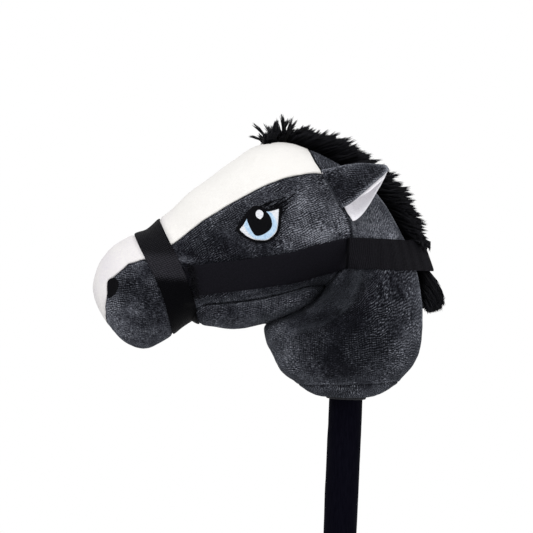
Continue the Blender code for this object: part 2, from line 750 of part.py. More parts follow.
def mane_pile(finish, group):
    """The long pile of the mane and forelock as one closed form."""
    loops = [mane_loop(u) for u in spread(MANE_HEIGHTS[0][0], MANE_HEIGHTS[-1][0], MANE_ROWS)]
    return loops, add_object("mane_pile", *lofted_caps(loops), finish, group)


def lofted_caps(loops):
    """A loft whose two end loops are closed by a face each."""
    points, faces = lofted(loops)
    count = len(loops[0])
    faces.append(tuple(range(count)))
    faces.append(tuple(range((len(loops) - 1) * count, len(loops) * count)))
    return points, faces


def mane_backing(finish, group):
    """The strip of cloth along the crest that carries the pile."""
    first = MANE_HEIGHTS[0][0] + MANE_BACKING_INSET
    last = MANE_HEIGHTS[-1][0] - MANE_BACKING_INSET
    stations = spread(first, last, MANE_ROWS)
    rows = []
    for u in stations:
        reach = crest_angle(u, MANE_BACKING_HALF_WIDTH)
        rows.append(spread(-reach, reach, BACKING_COLUMNS))
    low = CLEARANCE
    high = low + MANE_BACKING_THICKNESS
    inner = [[skin(u, v, -low) for v in row] for u, row in zip(stations, rows)]
    outer = [[skin(u, v, -high) for v in row] for u, row in zip(stations, rows)]
    return add_object("mane_backing", *thick_grid(outer, inner), finish, group)


# Halter
def smooth_step(value):
    """0 below 0, 1 above 1, and an even rise between them."""
    clipped = min(max(value, 0.0), 1.0)
    return clipped * clipped * (3 - 2 * clipped)


def cheek_line():
    """The cheek strap's centre line from the side, as (x, z) points with even spacing."""
    points = [Vector(p) for p in CHEEK_PATH]
    line = [2 * points[0] - points[1]] + points + [2 * points[-1] - points[-2]]
    path = []
    for i in range(1, len(line) - 2):
        for k in range(STRAP_STEPS):
            path.append(through(*line[i - 1:i + 3], k / STRAP_STEPS))
    return path + [line[-2]]


def cheek_strap(caster, finish, group):
    """The left cheek strap, from under the noseband to the face seam."""
    path = cheek_line()
    grid = []
    for i, centre in enumerate(path):
        ahead = path[min(i + 1, len(path) - 1)]
        behind = path[max(i - 1, 0)]
        run = (ahead - behind).normalized()
        across = Vector((-run.y, run.x))
        if i == len(path) - 1:
            across = Vector((0.0, 1.0))
        row = []
        for share in spread(-0.5, 0.5, BAND_COLUMNS):
            place = centre + across * share * WEBBING_WIDTH
            row.append(caster.from_left(place.x, place.y + NECK_BASE))
        grid.append(row)
    frames = with_normals(grid, lambda point: LEFT)
    return strip("cheek_strap_left", frames, STRAP_GAP, STRAP_TOP, finish, group)


def strap_lift(point):
    """How far the noseband is raised where it passes over a cheek strap's end."""
    path = [Vector((p[0], p[1] + NECK_BASE)) for p in CHEEK_PATH[:2]]
    run = (path[1] - path[0]).normalized()
    offset = Vector((point.x, point.z)) - path[0]
    along = offset.dot(run)
    across = abs(offset.dot(Vector((-run.y, run.x)))) - WEBBING_WIDTH / 2
    over_end = smooth_step((along + STRAP_SETTLE + STRAP_TOP) / STRAP_SETTLE)
    beside = smooth_step((STRAP_SETTLE + STRAP_TOP - across) / STRAP_SETTLE)
    return STRAP_TOP * over_end * beside


def noseband(caster, finish, group):
    """The webbing ring round the muzzle."""
    top, bottom = side_point(NOSEBAND_TOP), side_point(NOSEBAND_BOTTOM)
    centre = (top + bottom) / 2
    high = (top - bottom).normalized()
    back = Vector((-high.z, 0.0, high.x))
    if back.x < 0:
        back = -back
    grid = []
    for i in range(BAND_STEPS + 1):
        turn = 2 * math.pi * i / BAND_STEPS
        direction = high * math.cos(turn) + LEFT * math.sin(turn)
        bow = NOSEBAND_BOW * math.sin(turn) ** 2 * (1 - 0.5 * math.cos(turn))
        row = []
        for share in spread(-0.5, 0.5, BAND_COLUMNS):
            start = centre + back * (bow + share * WEBBING_WIDTH)
            row.append(caster.onto(start + direction * CAST_FROM, -direction))
        grid.append(row)
    grid[-1] = grid[0]
    wrapped = [grid[-2]] + grid + [grid[1]]
    frames = with_normals(wrapped, lambda point: point - centre)[1:-1]
    lifted = [[(point + normal * strap_lift(point), normal) for point, normal in row] for row in frames]
    return strip("noseband", lifted, STRAP_GAP, STRAP_TOP, finish, group)


def band_hull(mane_loops):
    """A taut wrap round the neck and the mane at the neck band's height, as something to look at."""
    low = NECK_BASE + NECK_BAND_HEIGHT - BAND_REACH
    high = NECK_BASE + NECK_BAND_HEIGHT + BAND_REACH
    shape = bmesh.new()
    rows = spread(FACE_SEAM - 1.0, NECK_END, CAST_STEPS)
    points = [surface(u, v) for u in rows for v in spread(0.0, 360.0, CAST_STEPS)]
    for loop, following in zip(mane_loops, mane_loops[1:]):
        points += [a + (b - a) * share for a, b in zip(loop, following) for share in (0.0, 0.25, 0.5, 0.75)]
    for point in points:
        if low < point.z < high and point.x > CHEEK_PATH[-1][0] - WEBBING_WIDTH / 2:
            shape.verts.new(point)
    bmesh.ops.convex_hull(shape, input=shape.verts)
    shape.verts.ensure_lookup_table()
    shape.faces.ensure_lookup_table()
    tree = BVHTree.FromBMesh(shape)
    shape.free()
    return tree


def neck_band(caster, mane_loops, finish, group):
    """The ribbed band from seam to seam round the back of the neck, over the mane."""
    tree = band_hull(mane_loops)
    end_x = CHEEK_PATH[-1][0]
    grid = []
    for share_round in spread(-1.0, 1.0, BAND_STEPS + 1):
        row = []
        for share in spread(-0.5, 0.5, BAND_COLUMNS):
            height = NECK_BASE + NECK_BAND_HEIGHT + share * WEBBING_WIDTH
            edge = caster.from_left(end_x + 2 * SEAM_GAP, height)
            centre = Vector((NECK_BAND_CENTRE_X, 0.0, height))
            half_turn = math.atan2(-edge.y, edge.x - centre.x)
            turn = half_turn * share_round
            direction = Vector((math.cos(turn), math.sin(turn), 0.0))
            hit = tree.ray_cast(centre + direction * CAST_FROM, -direction)[0]
            row.append(hit if hit is not None else edge)
        grid.append(row)
    hub = Vector((NECK_BAND_CENTRE_X, 0.0, NECK_BASE + NECK_BAND_HEIGHT))
    frames = with_normals(grid, lambda point: point - hub)
    return strip("neck_band", frames, STRAP_GAP, STRAP_TOP, finish, group)


# Ears
class Ear:
    """The left ear: a folded leaf whose far wall lies along the neck and whose near wall is shorter."""

    def __init__(self, caster):
        self.caster = caster
        top, low = surface(FACE_SEAM, EAR_TOP_ANGLE), surface(FACE_SEAM, EAR_LOW_ANGLE)
        self.reach = (low - top).length
        self.drop = (low - top).normalized()
        self.run = Vector(EAR_RUN).normalized()
        self.out = self.drop.cross(self.run).normalized()
        if self.out.y > 0:
            self.out = -self.out
        self.wall = PLUSH_THICKNESS + CLEARANCE + LINING_THICKNESS
        stand_off = RUNNING_GAP + self.wall + EAR_ROOT_SCOOP
        self.root = top + self.out * stand_off + self.run * EAR_ROOT_SHIFT
        self.low = self.root + self.drop * self.reach

    def point(self, s, t):
        """A point of the ear's outer face: s from root to tip, t from the far edge, -1, to the near, 1."""
        left = 1 - s
        narrowed = 1 - s ** EAR_TAPER
        far = self.reach * EAR_FAR_SHARE * narrowed ** EAR_FAR_FULLNESS
        near = self.reach * EAR_NEAR_SHARE * narrowed ** EAR_NEAR_FULLNESS
        swell = math.sin(math.pi * min(s / EAR_SCOOP_SPAN, 1.0) ** EAR_SCOOP_EARLY)
        scoop = EAR_ROOT_SCOOP + (EAR_SCOOP - EAR_ROOT_SCOOP) * swell
        scoop += self.wall * min(left / EAR_POINT_SHARE, 1.0)
        arch = EAR_ARCH * math.sin(math.pi * s ** EAR_ARCH_LATE)
        fold = self.root + self.run * EAR_LENGTH * s - self.drop * arch
        wall = near if t > 0 else far
        side = math.sin(math.radians(EAR_ROUND) * abs(t)) * math.copysign(1.0, t)
        place = fold + self.drop * wall * t * t + self.out * scoop * side * EAR_CUP
        return self.lift_clear(place)

    def lift_clear(self, place):
        """Moves a point outwards where it would come too near the body."""
        hit = self.caster.onto(place + self.out * CAST_FROM, -self.out)
        if hit is not None:
            need = (hit + self.out * RUNNING_GAP - place).dot(self.out)
            place = place + self.out * max(need, 0.0)
        return place

    def shell(self, name, low, high, finish, group, short=0):
        """A layer of the ear between two depths under its outer face, stopping short of the tip by rows."""
        rows, inner_rows = [], []
        for s in spread(0.0, EAR_END_SHARE, EAR_ROWS)[:EAR_ROWS - short]:
            row, inner_row = [], []
            for t in spread(-1.0, 1.0, EAR_COLUMNS):
                across = self.point(s, min(t + EAR_STEP, 1.0)) - self.point(s, max(t - EAR_STEP, -1.0))
                normal = across.cross(self.run).normalized()
                row.append(self.point(s, t) - normal * low)
                inner_row.append(self.point(s, t) - normal * high)
            rows.append(row)
            inner_rows.append(inner_row)
        return add_object(name, *thick_grid(rows, inner_rows), finish, group)


def ears(caster, finishes, group):
    """Both ears, each turning on an empty whose place and Z axis are its root's."""
    ear = Ear(caster)
    outer = ear.shell("ear_outer_left", 0.0, PLUSH_THICKNESS, finishes["grey"], group)
    lining_low = PLUSH_THICKNESS + CLEARANCE
    lining_high = lining_low + LINING_THICKNESS
    lining = ear.shell("ear_lining_left", lining_low, lining_high, finishes["lining"], group, 1)
    pieces = {"left": (outer, lining)}
    pieces["right"] = (mirrored(outer, "ear_outer_right", group),
                       mirrored(lining, "ear_lining_right", group))
    for side, sign in (("left", 1.0), ("right", -1.0)):
        hinge = bpy.data.objects.new("ear_hinge_" + side, None)
        middle = (ear.root + ear.low) / 2
        axis = ear.drop
        hinge.location = (middle.x, middle.y * sign, middle.z)
        hinge.rotation_mode = "QUATERNION"
        hinge.rotation_quaternion = Vector((axis.x, axis.y * sign, axis.z)).to_track_quat("Z", "Y")
        group.objects.link(hinge)
        bpy.context.view_layer.update()
        for piece in pieces[side]:
            piece.parent = hinge
            piece.matrix_parent_inverse = hinge.matrix_world.inverted()
    print("ear hinge", tuple((ear.root + ear.low) / 2), tuple(ear.drop))


# Embroidery
def smooth_loop(points, steps=3):
    """A closed curve through points."""
    loop = [Vector(p) for p in points]
    count = len(loop)
    curve = []
    for i in range(count):
        around = [loop[(i + k) % count] for k in (-1, 0, 1, 2)]
        curve += [through(*around, k / steps) for k in range(steps)]
    return curve


def oval(centre, size, steps=OVAL_STEPS):
    """A closed oval from the side."""
    return [Vector((centre[0] + size[0] * math.sin(a), centre[1] + size[1] * math.cos(a)))
            for a in [2 * math.pi * i / steps for i in range(steps)]]


def side_patch(name, caster, loop, shares, layer, finish, group):
    """A patch of embroidery on the left side inside a loop, at its layer's height above the plush.
    Shares are the rings it is drawn with, from the middle, 0, to the loop, 1."""
    middle = sum(loop, Vector((0.0, 0.0))) / len(loop)
    grid = []
    for share in shares:
        row = []
        for place in loop + loop[:1]:
            spot = middle + (place - middle) * share
            row.append(caster.from_left(spot.x, spot.y + NECK_BASE))
        grid.append(row)
    low = CLEARANCE + layer * (THREAD_HEIGHT + THREAD_GAP)
    frames = [[(point, LEFT) for point in row] for row in grid]
    return strip(name, frames, low, low + THREAD_HEIGHT, finish, group)


def eyes(caster, finishes, group):
    """Both embroidered eyes, each in layers: outline and white, iris, pupil and glint."""
    loop = smooth_loop(EYE_SHAPE, 2)
    middle = sum(loop, Vector((0.0, 0.0))) / len(loop)
    width = max((p - middle).length for p in loop)
    rim = 1 - EYE_OUTLINE / width
    gap = THREAD_GAP / width
    white, black, blue = finishes["white_thread"], finishes["black_thread"], finishes["iris_thread"]
    iris = oval(IRIS_CENTRE, IRIS_SIZE)
    pupil = oval(PUPIL_CENTRE, PUPIL_SIZE)
    glint = oval(GLINT_CENTRE, GLINT_SIZE, GLINT_STEPS)
    made = [side_patch("eye_white_left", caster, loop, (0.0, rim / 2, rim - gap), 0, white, group),
            side_patch("eye_outline_left", caster, loop, (rim, 1.0), 0, black, group),
            side_patch("eye_iris_left", caster, iris, PATCH_SHARES, 1, blue, group),
            side_patch("eye_pupil_left", caster, pupil, PATCH_SHARES, 2, black, group),
            side_patch("eye_glint_left", caster, glint, (0.0, 1.0), 3, white, group)]
    for piece in made:
        mirrored(piece, piece.name.replace("_left", "_right"), group)


def nostrils(finishes, group):
    """The two nostril patches, one on each side of the nose."""
    u, v = NOSTRIL_PLACE
    along = (surface(u + TIP_REACH, v) - surface(u - TIP_REACH, v)).length / (2 * TIP_REACH)
    step = angle_for(u, v, 1.0)
    grid = []
    for share in PATCH_SHARES:
        row = []
        for i in range(NOSTRIL_STEPS + 1):
            turn = 2 * math.pi * i / NOSTRIL_STEPS
            du = share * NOSTRIL_SIZE[0] * math.cos(turn) / along
            dv = share * NOSTRIL_SIZE[1] * math.sin(turn) * step
            row.append((surface(u + du, v + dv), outward(u + du, v + dv)))
        grid.append(row)
    made = strip("nostril_left", grid, CLEARANCE, CLEARANCE + THREAD_HEIGHT, finishes["black_thread"], group)
    mirrored(made, "nostril_right", group)


def main():
    """Builds every piece."""
    clear_scene()
    group = collection("hobby_horse")
    cutters = collection("cutters")
    finishes = {
        "wood": material("wood", (0.62, 0.45, 0.27), 0.6),
        "sleeve": material("sleeve", (0.006, 0.006, 0.010), 0.8),
        "rubber": material("rubber", (0.012, 0.012, 0.013), 0.7),
        "plastic": material("plastic", (0.75, 0.75, 0.73), 0.45),
        "backing": material("backing", (0.02, 0.02, 0.022), 0.9),
        "fibre": material("fibre", (0.85, 0.85, 0.84), 0.95),
        "grey": material("grey_plush", (0.045, 0.048, 0.058), 0.9),
        "white": material("white_plush", (0.88, 0.87, 0.84), 0.9),
        "lining": material("lining_plush", (0.74, 0.73, 0.76), 0.9),
        "mane": material("mane_pile", (0.006, 0.006, 0.007), 0.7),
        "webbing": material("webbing", (0.007, 0.007, 0.009), 0.65),
        "white_thread": material("white_thread", (0.86, 0.86, 0.88), 0.6),
        "black_thread": material("black_thread", (0.008, 0.008, 0.010), 0.55),
        "iris_thread": material("iris_thread", (0.45, 0.62, 0.82), 0.6),
    }
    bore = stick_pieces(finishes, group, cutters)
    neck_stuffing(finishes["fibre"], group, bore)
    head_stuffing(finishes["fibre"], group, bore)
    blaze_panel(finishes["white"], group)
    mirrored(face_panel(finishes["grey"], group), "face_panel_right", group)
    mirrored(neck_panel(finishes["grey"], group), "neck_panel_right", group)
    base_disc(finishes["grey"], group)

    body = [body_loop(u, -JAW_GAP, columns=CUTTER_COLUMNS) for u in NOSE_ROWS + HEAD_ROWS + NECK_ROWS[1:]]
    body_cutter = as_cutter(add_object("body_shape", *lofted(body, cap_end=True), finishes["grey"], cutters))
    hollow = as_cutter(jaw_shape("jaw_hollow", PLUSH_THICKNESS, finishes["grey"], cutters))
    cut(cut(jaw_shape("jaw_panel", 0.0, finishes["grey"], group), hollow), body_cutter)
    cut(jaw_shape("jaw_stuffing", FILL_DEPTH, finishes["fibre"], group), body_cutter)

    loops, _ = mane_pile(finishes["mane"], group)
    mane_backing(finishes["backing"], group)
    caster = Caster()
    nostrils(finishes, group)
    eyes(caster, finishes, group)
    ears(caster, finishes, group)
    jaw_too = Caster([lofted(jaw_loops(0.0))])
    mirrored(cheek_strap(caster, finishes["webbing"], group), "cheek_strap_right", group)
    noseband(jaw_too, finishes["webbing"], group)
    neck_band(caster, loops, finishes["webbing"], group)


main()
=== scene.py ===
"""Looks of the hobby horse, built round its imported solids.

Units are metres, in the frame of the solids: the stick stands on +Z through the origin, the nose points to
-X and the horse's left side faces -Y. The stuffed head and neck follow one smooth form. A place on that form
is (u, v): u counts cross-sections from the nose to the neck's base, and v is the angle round one in degrees,
0 on the crest, 90 on the left side and 180 underneath.
"""

import itertools
import json
import logging
import math
from collections.abc import Callable
from dataclasses import dataclass, field
from enum import Enum
from functools import lru_cache

import bmesh
import bpy
import numpy as np
from mathutils import Matrix, Vector
from mathutils.bvhtree import BVHTree
from mathutils.kdtree import KDTree

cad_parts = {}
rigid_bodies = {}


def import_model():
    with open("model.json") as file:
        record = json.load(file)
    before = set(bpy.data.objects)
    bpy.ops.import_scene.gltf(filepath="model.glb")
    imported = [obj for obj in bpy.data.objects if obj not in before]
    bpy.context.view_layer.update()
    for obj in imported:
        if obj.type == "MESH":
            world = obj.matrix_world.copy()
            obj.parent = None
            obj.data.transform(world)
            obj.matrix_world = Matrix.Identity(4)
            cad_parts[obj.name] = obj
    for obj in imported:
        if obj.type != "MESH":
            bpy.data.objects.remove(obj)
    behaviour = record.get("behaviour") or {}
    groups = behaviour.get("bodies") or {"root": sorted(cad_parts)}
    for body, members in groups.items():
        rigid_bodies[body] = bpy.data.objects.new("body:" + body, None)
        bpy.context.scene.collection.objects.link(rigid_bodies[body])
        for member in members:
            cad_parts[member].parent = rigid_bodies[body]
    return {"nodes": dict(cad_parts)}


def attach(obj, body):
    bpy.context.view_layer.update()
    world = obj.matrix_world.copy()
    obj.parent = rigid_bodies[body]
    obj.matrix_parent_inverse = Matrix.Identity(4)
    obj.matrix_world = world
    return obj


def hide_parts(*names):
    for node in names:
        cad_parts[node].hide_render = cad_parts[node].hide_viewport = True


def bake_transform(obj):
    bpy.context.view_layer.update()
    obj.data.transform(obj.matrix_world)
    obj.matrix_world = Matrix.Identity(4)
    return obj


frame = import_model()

log = logging.getLogger("hobby_horse")
Array = np.ndarray
Piece = bpy.types.Object
Material = bpy.types.Material
Tree = bpy.types.NodeTree
Node = bpy.types.Node
Socket = bpy.types.NodeSocket
Point = tuple[float, float]
Triple = tuple[float, float, float]
Stops = tuple[tuple[float, Triple], ...]
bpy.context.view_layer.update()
MM = 0.001
NECK_BASE = 0.620  # height of the neck's base over the floor
FACE_SEAM = 13  # u of the seam between face and neck
NECK_END = 21  # u of the seam round the base disc
PLUSH_THICKNESS = 2.2 * MM
WEBBING_WIDTH = 25 * MM
WEBBING_THICKNESS = 1.5 * MM
STRAP_GAP = 0.6 * MM
BAND_CENTRE_X = 2.0 * MM  # the neck band runs round an upright line here
SLEEVE_RADIUS = 14.2 * MM
SEAM_START = 1.9  # u where the face's seams begin, behind the nose
TURN_ROWS = np.linspace(SEAM_START, 2.7, 33)  # extra rows where the blaze's edge turns under the nose
LEVEL = np.array((1.0, 1.0, 0.0))  # leaves out heights
UP = np.array((0.0, 0.0, 1.0))
ORIGIN = (0.0, 0.0, 0.0)

# Cross-sections: top x and z, bottom x and z, half width, and how far the middle lies behind the line between
STATIONS = np.array((
    (-0.2133, 0.0657, -0.2172, 0.0970, -0.0160, 0.0),
    (-0.2192, 0.0816, -0.2192, 0.0816, 0.0, 0.0),
    (-0.2172, 0.0970, -0.2133, 0.0657, 0.0160, 0.0),
    (-0.2130, 0.1074, -0.2043, 0.0531, 0.0260, 0.0),
    (-0.2033, 0.1193, -0.1905, 0.0395, 0.0345, 0.0),
    (-0.1917, 0.1266, -0.1741, 0.0338, 0.0390, 0.0),
    (-0.1825, 0.1304, -0.1590, 0.0400, 0.0392, 0.0),
    (-0.1730, 0.1345, -0.1410, 0.0560, 0.0378, 0.001),
    (-0.1598, 0.1480, -0.1240, 0.0655, 0.0405, 0.002),
    (-0.1399, 0.1680, -0.1032, 0.0662, 0.0470, 0.004),
    (-0.1197, 0.1841, -0.0828, 0.0679, 0.0525, 0.007),
    (-0.1038, 0.1967, -0.0643, 0.0730, 0.0560, 0.011),
    (-0.0865, 0.2086, -0.0476, 0.0805, 0.0582, 0.015),
    (-0.0644, 0.2142, -0.0343, 0.0870, 0.0592, 0.020),
    (-0.0412, 0.2090, -0.0262, 0.0900, 0.0596, 0.026),
    (-0.0109, 0.1956, -0.0310, 0.0830, 0.0602, 0.025),
    (0.0155, 0.1768, -0.0456, 0.0738, 0.0615, 0.026),
    (0.0371, 0.1479, -0.0622, 0.0645, 0.0632, 0.024),
    (0.0521, 0.1171, -0.0713, 0.0573, 0.0645, 0.016),
    (0.0608, 0.0851, -0.0704, 0.0460, 0.0648, 0.009),
    (0.0616, 0.0494, -0.0640, 0.0335, 0.0630, 0.004),
    (0.0560, 0.0302, -0.0560, 0.0198, 0.0560, 0.001),
    (0.0437, 0.0150, -0.0412, 0.0093, 0.0440, 0.0),
    (0.0314, -0.0002, -0.0264, -0.0012, 0.0320, -0.001),
))
# u and half the angle that the blaze covers there
BLAZE_ANGLES = np.array((
    (0.0, 180.0), (1.88, 180.0), (1.98, 134.0), (2.08, 112.0), (2.29, 97.0), (2.40, 86.0), (2.52, 78.5),
    (2.68, 73.0), (2.88, 69.5), (3.1, 67.0), (4.0, 57.0), (5.0, 58.5), (6.0, 62.0), (7.0, 64.5), (8.0, 61.0),
    (9.0, 59.0), (10.0, 59.3), (11.0, 60.8), (12.0, 59.8), (12.6, 56.0), (13.0, 53.0)))
# The jaw pad's cross-sections: x and height of the middle, half height and half width
JAW_LOBES = np.array((
    (-0.1370, 0.0700, 0.0, 0.0), (-0.1335, 0.0695, 0.0080, 0.0150), (-0.1220, 0.0690, 0.0125, 0.0270),
    (-0.1000, 0.0690, 0.0150, 0.0350), (-0.0780, 0.0725, 0.0150, 0.0390), (-0.0540, 0.0790, 0.0130, 0.0410),
    (-0.0330, 0.0870, 0.0090, 0.0380), (-0.0180, 0.0950, 0.0, 0.0)))


class Body(Enum):
    """The bodies that pieces ride on."""

    TOY = "toy"
    LEFT_EAR = "ear_left"
    RIGHT_EAR = "ear_right"


class Side(Enum):
    """The horse's two sides, with the sign that mirrors a left piece."""

    LEFT = 1.0
    RIGHT = -1.0

    def mirror(self, points: Array) -> Array:
        """The left side's points on this side."""
        return points * np.array((1.0, self.value, 1.0))

    def label(self, piece: str) -> str:
        """A piece's name with this side's word."""
        return f"{piece}_{self.name.lower()}"


# Arrays of points
def unit(vectors: Array) -> Array:
    """Vectors at length one."""
    return vectors / np.maximum(np.linalg.norm(vectors, axis=-1, keepdims=True), 1e-12)


def ramp(value: Array | float) -> Array:
    """0 below 0, 1 above 1, and an even rise between them."""
    clipped = np.clip(value, 0.0, 1.0)
    return clipped * clipped * (3 - 2 * clipped)


def spline(knots: Array, places: Array) -> Array:
    """A Catmull-Rom curve through knots.

    Args:
        knots: the knots' rows, with one spare row before the first and one after the last.
        places: where on the curve, counted in knots from the first real one.

    Returns:
        The curve's rows at those places.
    """
    low = np.clip(np.floor(places).astype(int), 0, len(knots) - 4)
    share = (places - low)[..., None]
    before, start, end, after = (knots[low + k] for k in range(4))
    straight, lead, trail = end - start, (end - before) / 2, (after - start) / 2
    cubic = lead + trail - 2 * straight
    return start + share * (lead + share * (3 * straight - 2 * lead - trail + share * cubic))


def closed_curve(points: tuple[Point, ...], count: int) -> Array:
    """A closed smooth curve through points of the side view, at even steps."""
    knots = np.array(points)
    ring = np.concatenate([knots[-1:], knots, knots[:2]])
    fine = spline(ring, np.linspace(0.0, len(knots), 12 * len(knots), endpoint=False))
    fine = np.concatenate([fine, fine[:1]])
    return along_line(fine, count + 1)[:-1]


def open_curve(points: tuple[Point, ...], count: int) -> Array:
    """An open smooth curve through points of the side view, at even steps."""
    knots = np.array(points)
    line = np.concatenate([2 * knots[:1] - knots[1:2], knots, 2 * knots[-1:] - knots[-2:-1]])
    return along_line(spline(line, np.linspace(0.0, len(knots) - 1, 16 * len(knots))), count)


def lengths(lines: Array, axis: int = 0) -> Array:
    """The length along lines of points up to each of their points."""
    run = np.cumsum(np.linalg.norm(np.diff(lines, axis=axis), axis=-1), axis=axis)
    return np.concatenate([np.zeros_like(run.take([0], axis=axis)), run], axis=axis)


def along_line(line: Array, count: int) -> Array:
    """The same line with its points at even steps."""
    run = lengths(line)
    places = np.linspace(0.0, run[-1], count)
    return np.stack([np.interp(places, run, line[:, k]) for k in range(line.shape[1])], axis=-1)


def hashed(cells: Array, seed: int) -> Array:
    """A fixed number between -1 and 1 for each cell of a grid in space."""
    mixed = cells[..., 0] * 73856093 ^ cells[..., 1] * 19349663 ^ cells[..., 2] * 83492791 ^ seed * 26544357
    mixed = (mixed ^ (mixed >> 13)) * 1274126177 & 0xFFFFFFFF
    mixed = (mixed ^ (mixed >> 16)) * 2246822519 & 0xFFFFFFFF
    return (mixed >> 8 & 0xFFFF) / 32767.5 - 1.0


def unevenness(points: Array, size: float, seed: int) -> Array:
    """Smooth hills and hollows between -1 and 1.

    Args:
        points: where to read them.
        size: the distance from a hill to the next hollow.
        seed: which pattern.

    Returns:
        One value for each point.
    """
    scaled = points / size
    cells = np.floor(scaled).astype(np.int64)
    share = ramp(scaled - cells)
    total = np.zeros(points.shape[:-1])
    for corner in itertools.product((0, 1), repeat=3):
        weight = np.prod(np.where(corner, share, 1 - share), axis=-1)
        total += weight * hashed(cells + np.array(corner), seed)
    return total


def smoothed(line: Array, passes: int, wrap: bool = False) -> Array:
    """A grid of points evened out along its first axis, its ends kept where it doesn't close on itself."""
    for _ in range(passes):
        before, after = np.roll(line, 1, axis=0), np.roll(line, -1, axis=0)
        evened = (before + 2 * line + after) / 4
        if not wrap:
            evened[0], evened[-1] = line[0], line[-1]
        line = evened
    return line


def grid_normals(grid: Array, wrap: bool = False) -> Array:
    """The normals of a grid of points, across its columns and along its rows."""
    if wrap:
        along = np.roll(grid, -1, axis=0) - np.roll(grid, 1, axis=0)
    else:
        along = np.gradient(grid, axis=0)
    return unit(np.cross(np.gradient(grid, axis=1), along))


def side_view(points: Array) -> Array:
    """Points as the side view shows them: x and height above the neck's base."""
    return np.stack([points[..., 0], points[..., 2] - NECK_BASE], -1)


def ring_faces(rows: int, columns: int, first: int = 0) -> Array:
    """Corner numbers of the faces between closed loops of points, counted from a first number."""
    numbers = np.arange(rows * columns).reshape(rows, columns) + first
    after = np.roll(numbers, -1, axis=1)
    return np.stack([numbers[:-1], after[:-1], after[1:], numbers[1:]], -1).reshape(-1, 4)


@dataclass(frozen=True)
class StuffedForm:
    """The smooth form of the stuffed head and neck, before seams, straps and pile."""

    lag_skew: float = 0.7
    roundness: float = 0.85
    nose_start: float = 0.3
    tip_reach: float = 0.05
    angle_step: float = 1.0
    section_step: float = 0.02

    def section(self, u: Array) -> Array:
        """The cross-section's six measures at u."""
        return spline(STATIONS, np.asarray(u, float))

    def along(self, u: Array) -> Array:
        """The direction square to the cross-section, towards the neck's base."""
        part = self.section(np.maximum(u, self.nose_start))
        chord = unit(part[..., 0:2] - part[..., 2:4])
        return np.stack([chord[..., 1], np.zeros_like(chord[..., 0]), -chord[..., 0]], axis=-1)

    def surface(self, u: Array | float, v: Array | float) -> Array:
        """Points of the plush's outer face."""
        u, v = np.broadcast_arrays(np.asarray(u, float), np.asarray(v, float))
        top_x, top_z, bottom_x, bottom_z, half_width, lag = np.moveaxis(self.section(u), -1, 0)
        side, high = np.sin(np.radians(v)), np.cos(np.radians(v))
        behind = (lag * side ** 2 * (1 - self.lag_skew * high))[..., None] * self.along(u)
        x = (top_x + bottom_x) / 2 + (top_x - bottom_x) / 2 * high
        y = -half_width * np.sign(side) * np.abs(side) ** self.roundness
        z = (top_z + bottom_z) / 2 + (top_z - bottom_z) / 2 * high + NECK_BASE
        return np.stack([x, y, z], axis=-1) + behind

    def outward(self, u: Array | float, v: Array | float) -> Array:
        """The outward normals at (u, v)."""
        u, v = np.broadcast_arrays(np.asarray(u, float), np.asarray(v, float))
        across = self.surface(u, v + self.angle_step) - self.surface(u, v - self.angle_step)
        run = self.surface(u + self.section_step, v) - self.surface(u - self.section_step, v)
        normals = unit(np.cross(across, run))
        tip = self.surface(0.0, 0.0) - (self.surface(1.0, 0.0) + self.surface(1.0, 180.0)) / 2
        return np.where((u < self.tip_reach)[..., None], unit(tip), normals)

    def blaze(self, u: Array) -> Array:
        """Half the angle that the white blaze covers."""
        return np.interp(u, BLAZE_ANGLES[:, 0], BLAZE_ANGLES[:, 1])

    def crest_angle(self, u: Array, distance: Array) -> Array:
        """The angle at which the plush lies a distance to the left of the crest."""
        share = np.clip(distance / self.section(u)[..., 4], -1.0, 1.0)
        return np.degrees(np.arcsin(np.sign(share) * np.abs(share) ** (1 / self.roundness)))

    def rows(self, start: float, end: float, pitch: float, edges: tuple[bool, bool]) -> Array:
        """u at even steps along the side.

        Args:
            start: the first u.
            end: the last u.
            pitch: the step in metres.
            edges: whether steps are finer near the start and near the end.

        Returns:
            The rows' values of u.
        """
        fine = np.linspace(start, end, 900)
        run = lengths(self.surface(fine, 90.0))
        return np.interp(edge_steps(run[-1], pitch, edges), run, fine)

    def columns(self, u: Array, first: Array, last: Array, pitch: float) -> Array:
        """Angles at even steps round the form between two angles of each row, finer near both."""
        shares = np.linspace(0.0, 1.0, 161)
        angles = first[:, None] + (last - first)[:, None] * shares
        points = self.surface(u[:, None], angles)
        steps = np.linalg.norm(np.diff(points, axis=1), axis=-1) + 1e-9
        run = np.concatenate([np.zeros((len(u), 1)), np.cumsum(steps, axis=1)], axis=1)
        longest = run[:, -1].max()
        pattern = edge_steps(longest, pitch, (True, True))
        return np.stack([np.interp(fitted(pattern, line[-1]), line, row) for line, row in zip(run, angles)])


# Where rows of points lie beside an edge
EDGE_OFFSETS = np.array((0.0, 0.15, 0.45, 0.9, 1.5, 2.3)) * MM


def edge_steps(length: float, pitch: float, edges: tuple[bool, bool]) -> Array:
    """Distances from 0 to a length in even steps, with finer ones near the ends that ask for them."""
    low = EDGE_OFFSETS if edges[0] else EDGE_OFFSETS[:1]
    high = length - (EDGE_OFFSETS if edges[1] else EDGE_OFFSETS[:1])[::-1]
    count = max(int(round((high[0] - low[-1]) / pitch)), 1)
    return np.concatenate([low, np.linspace(low[-1], high[0], count + 1)[1:-1], high])


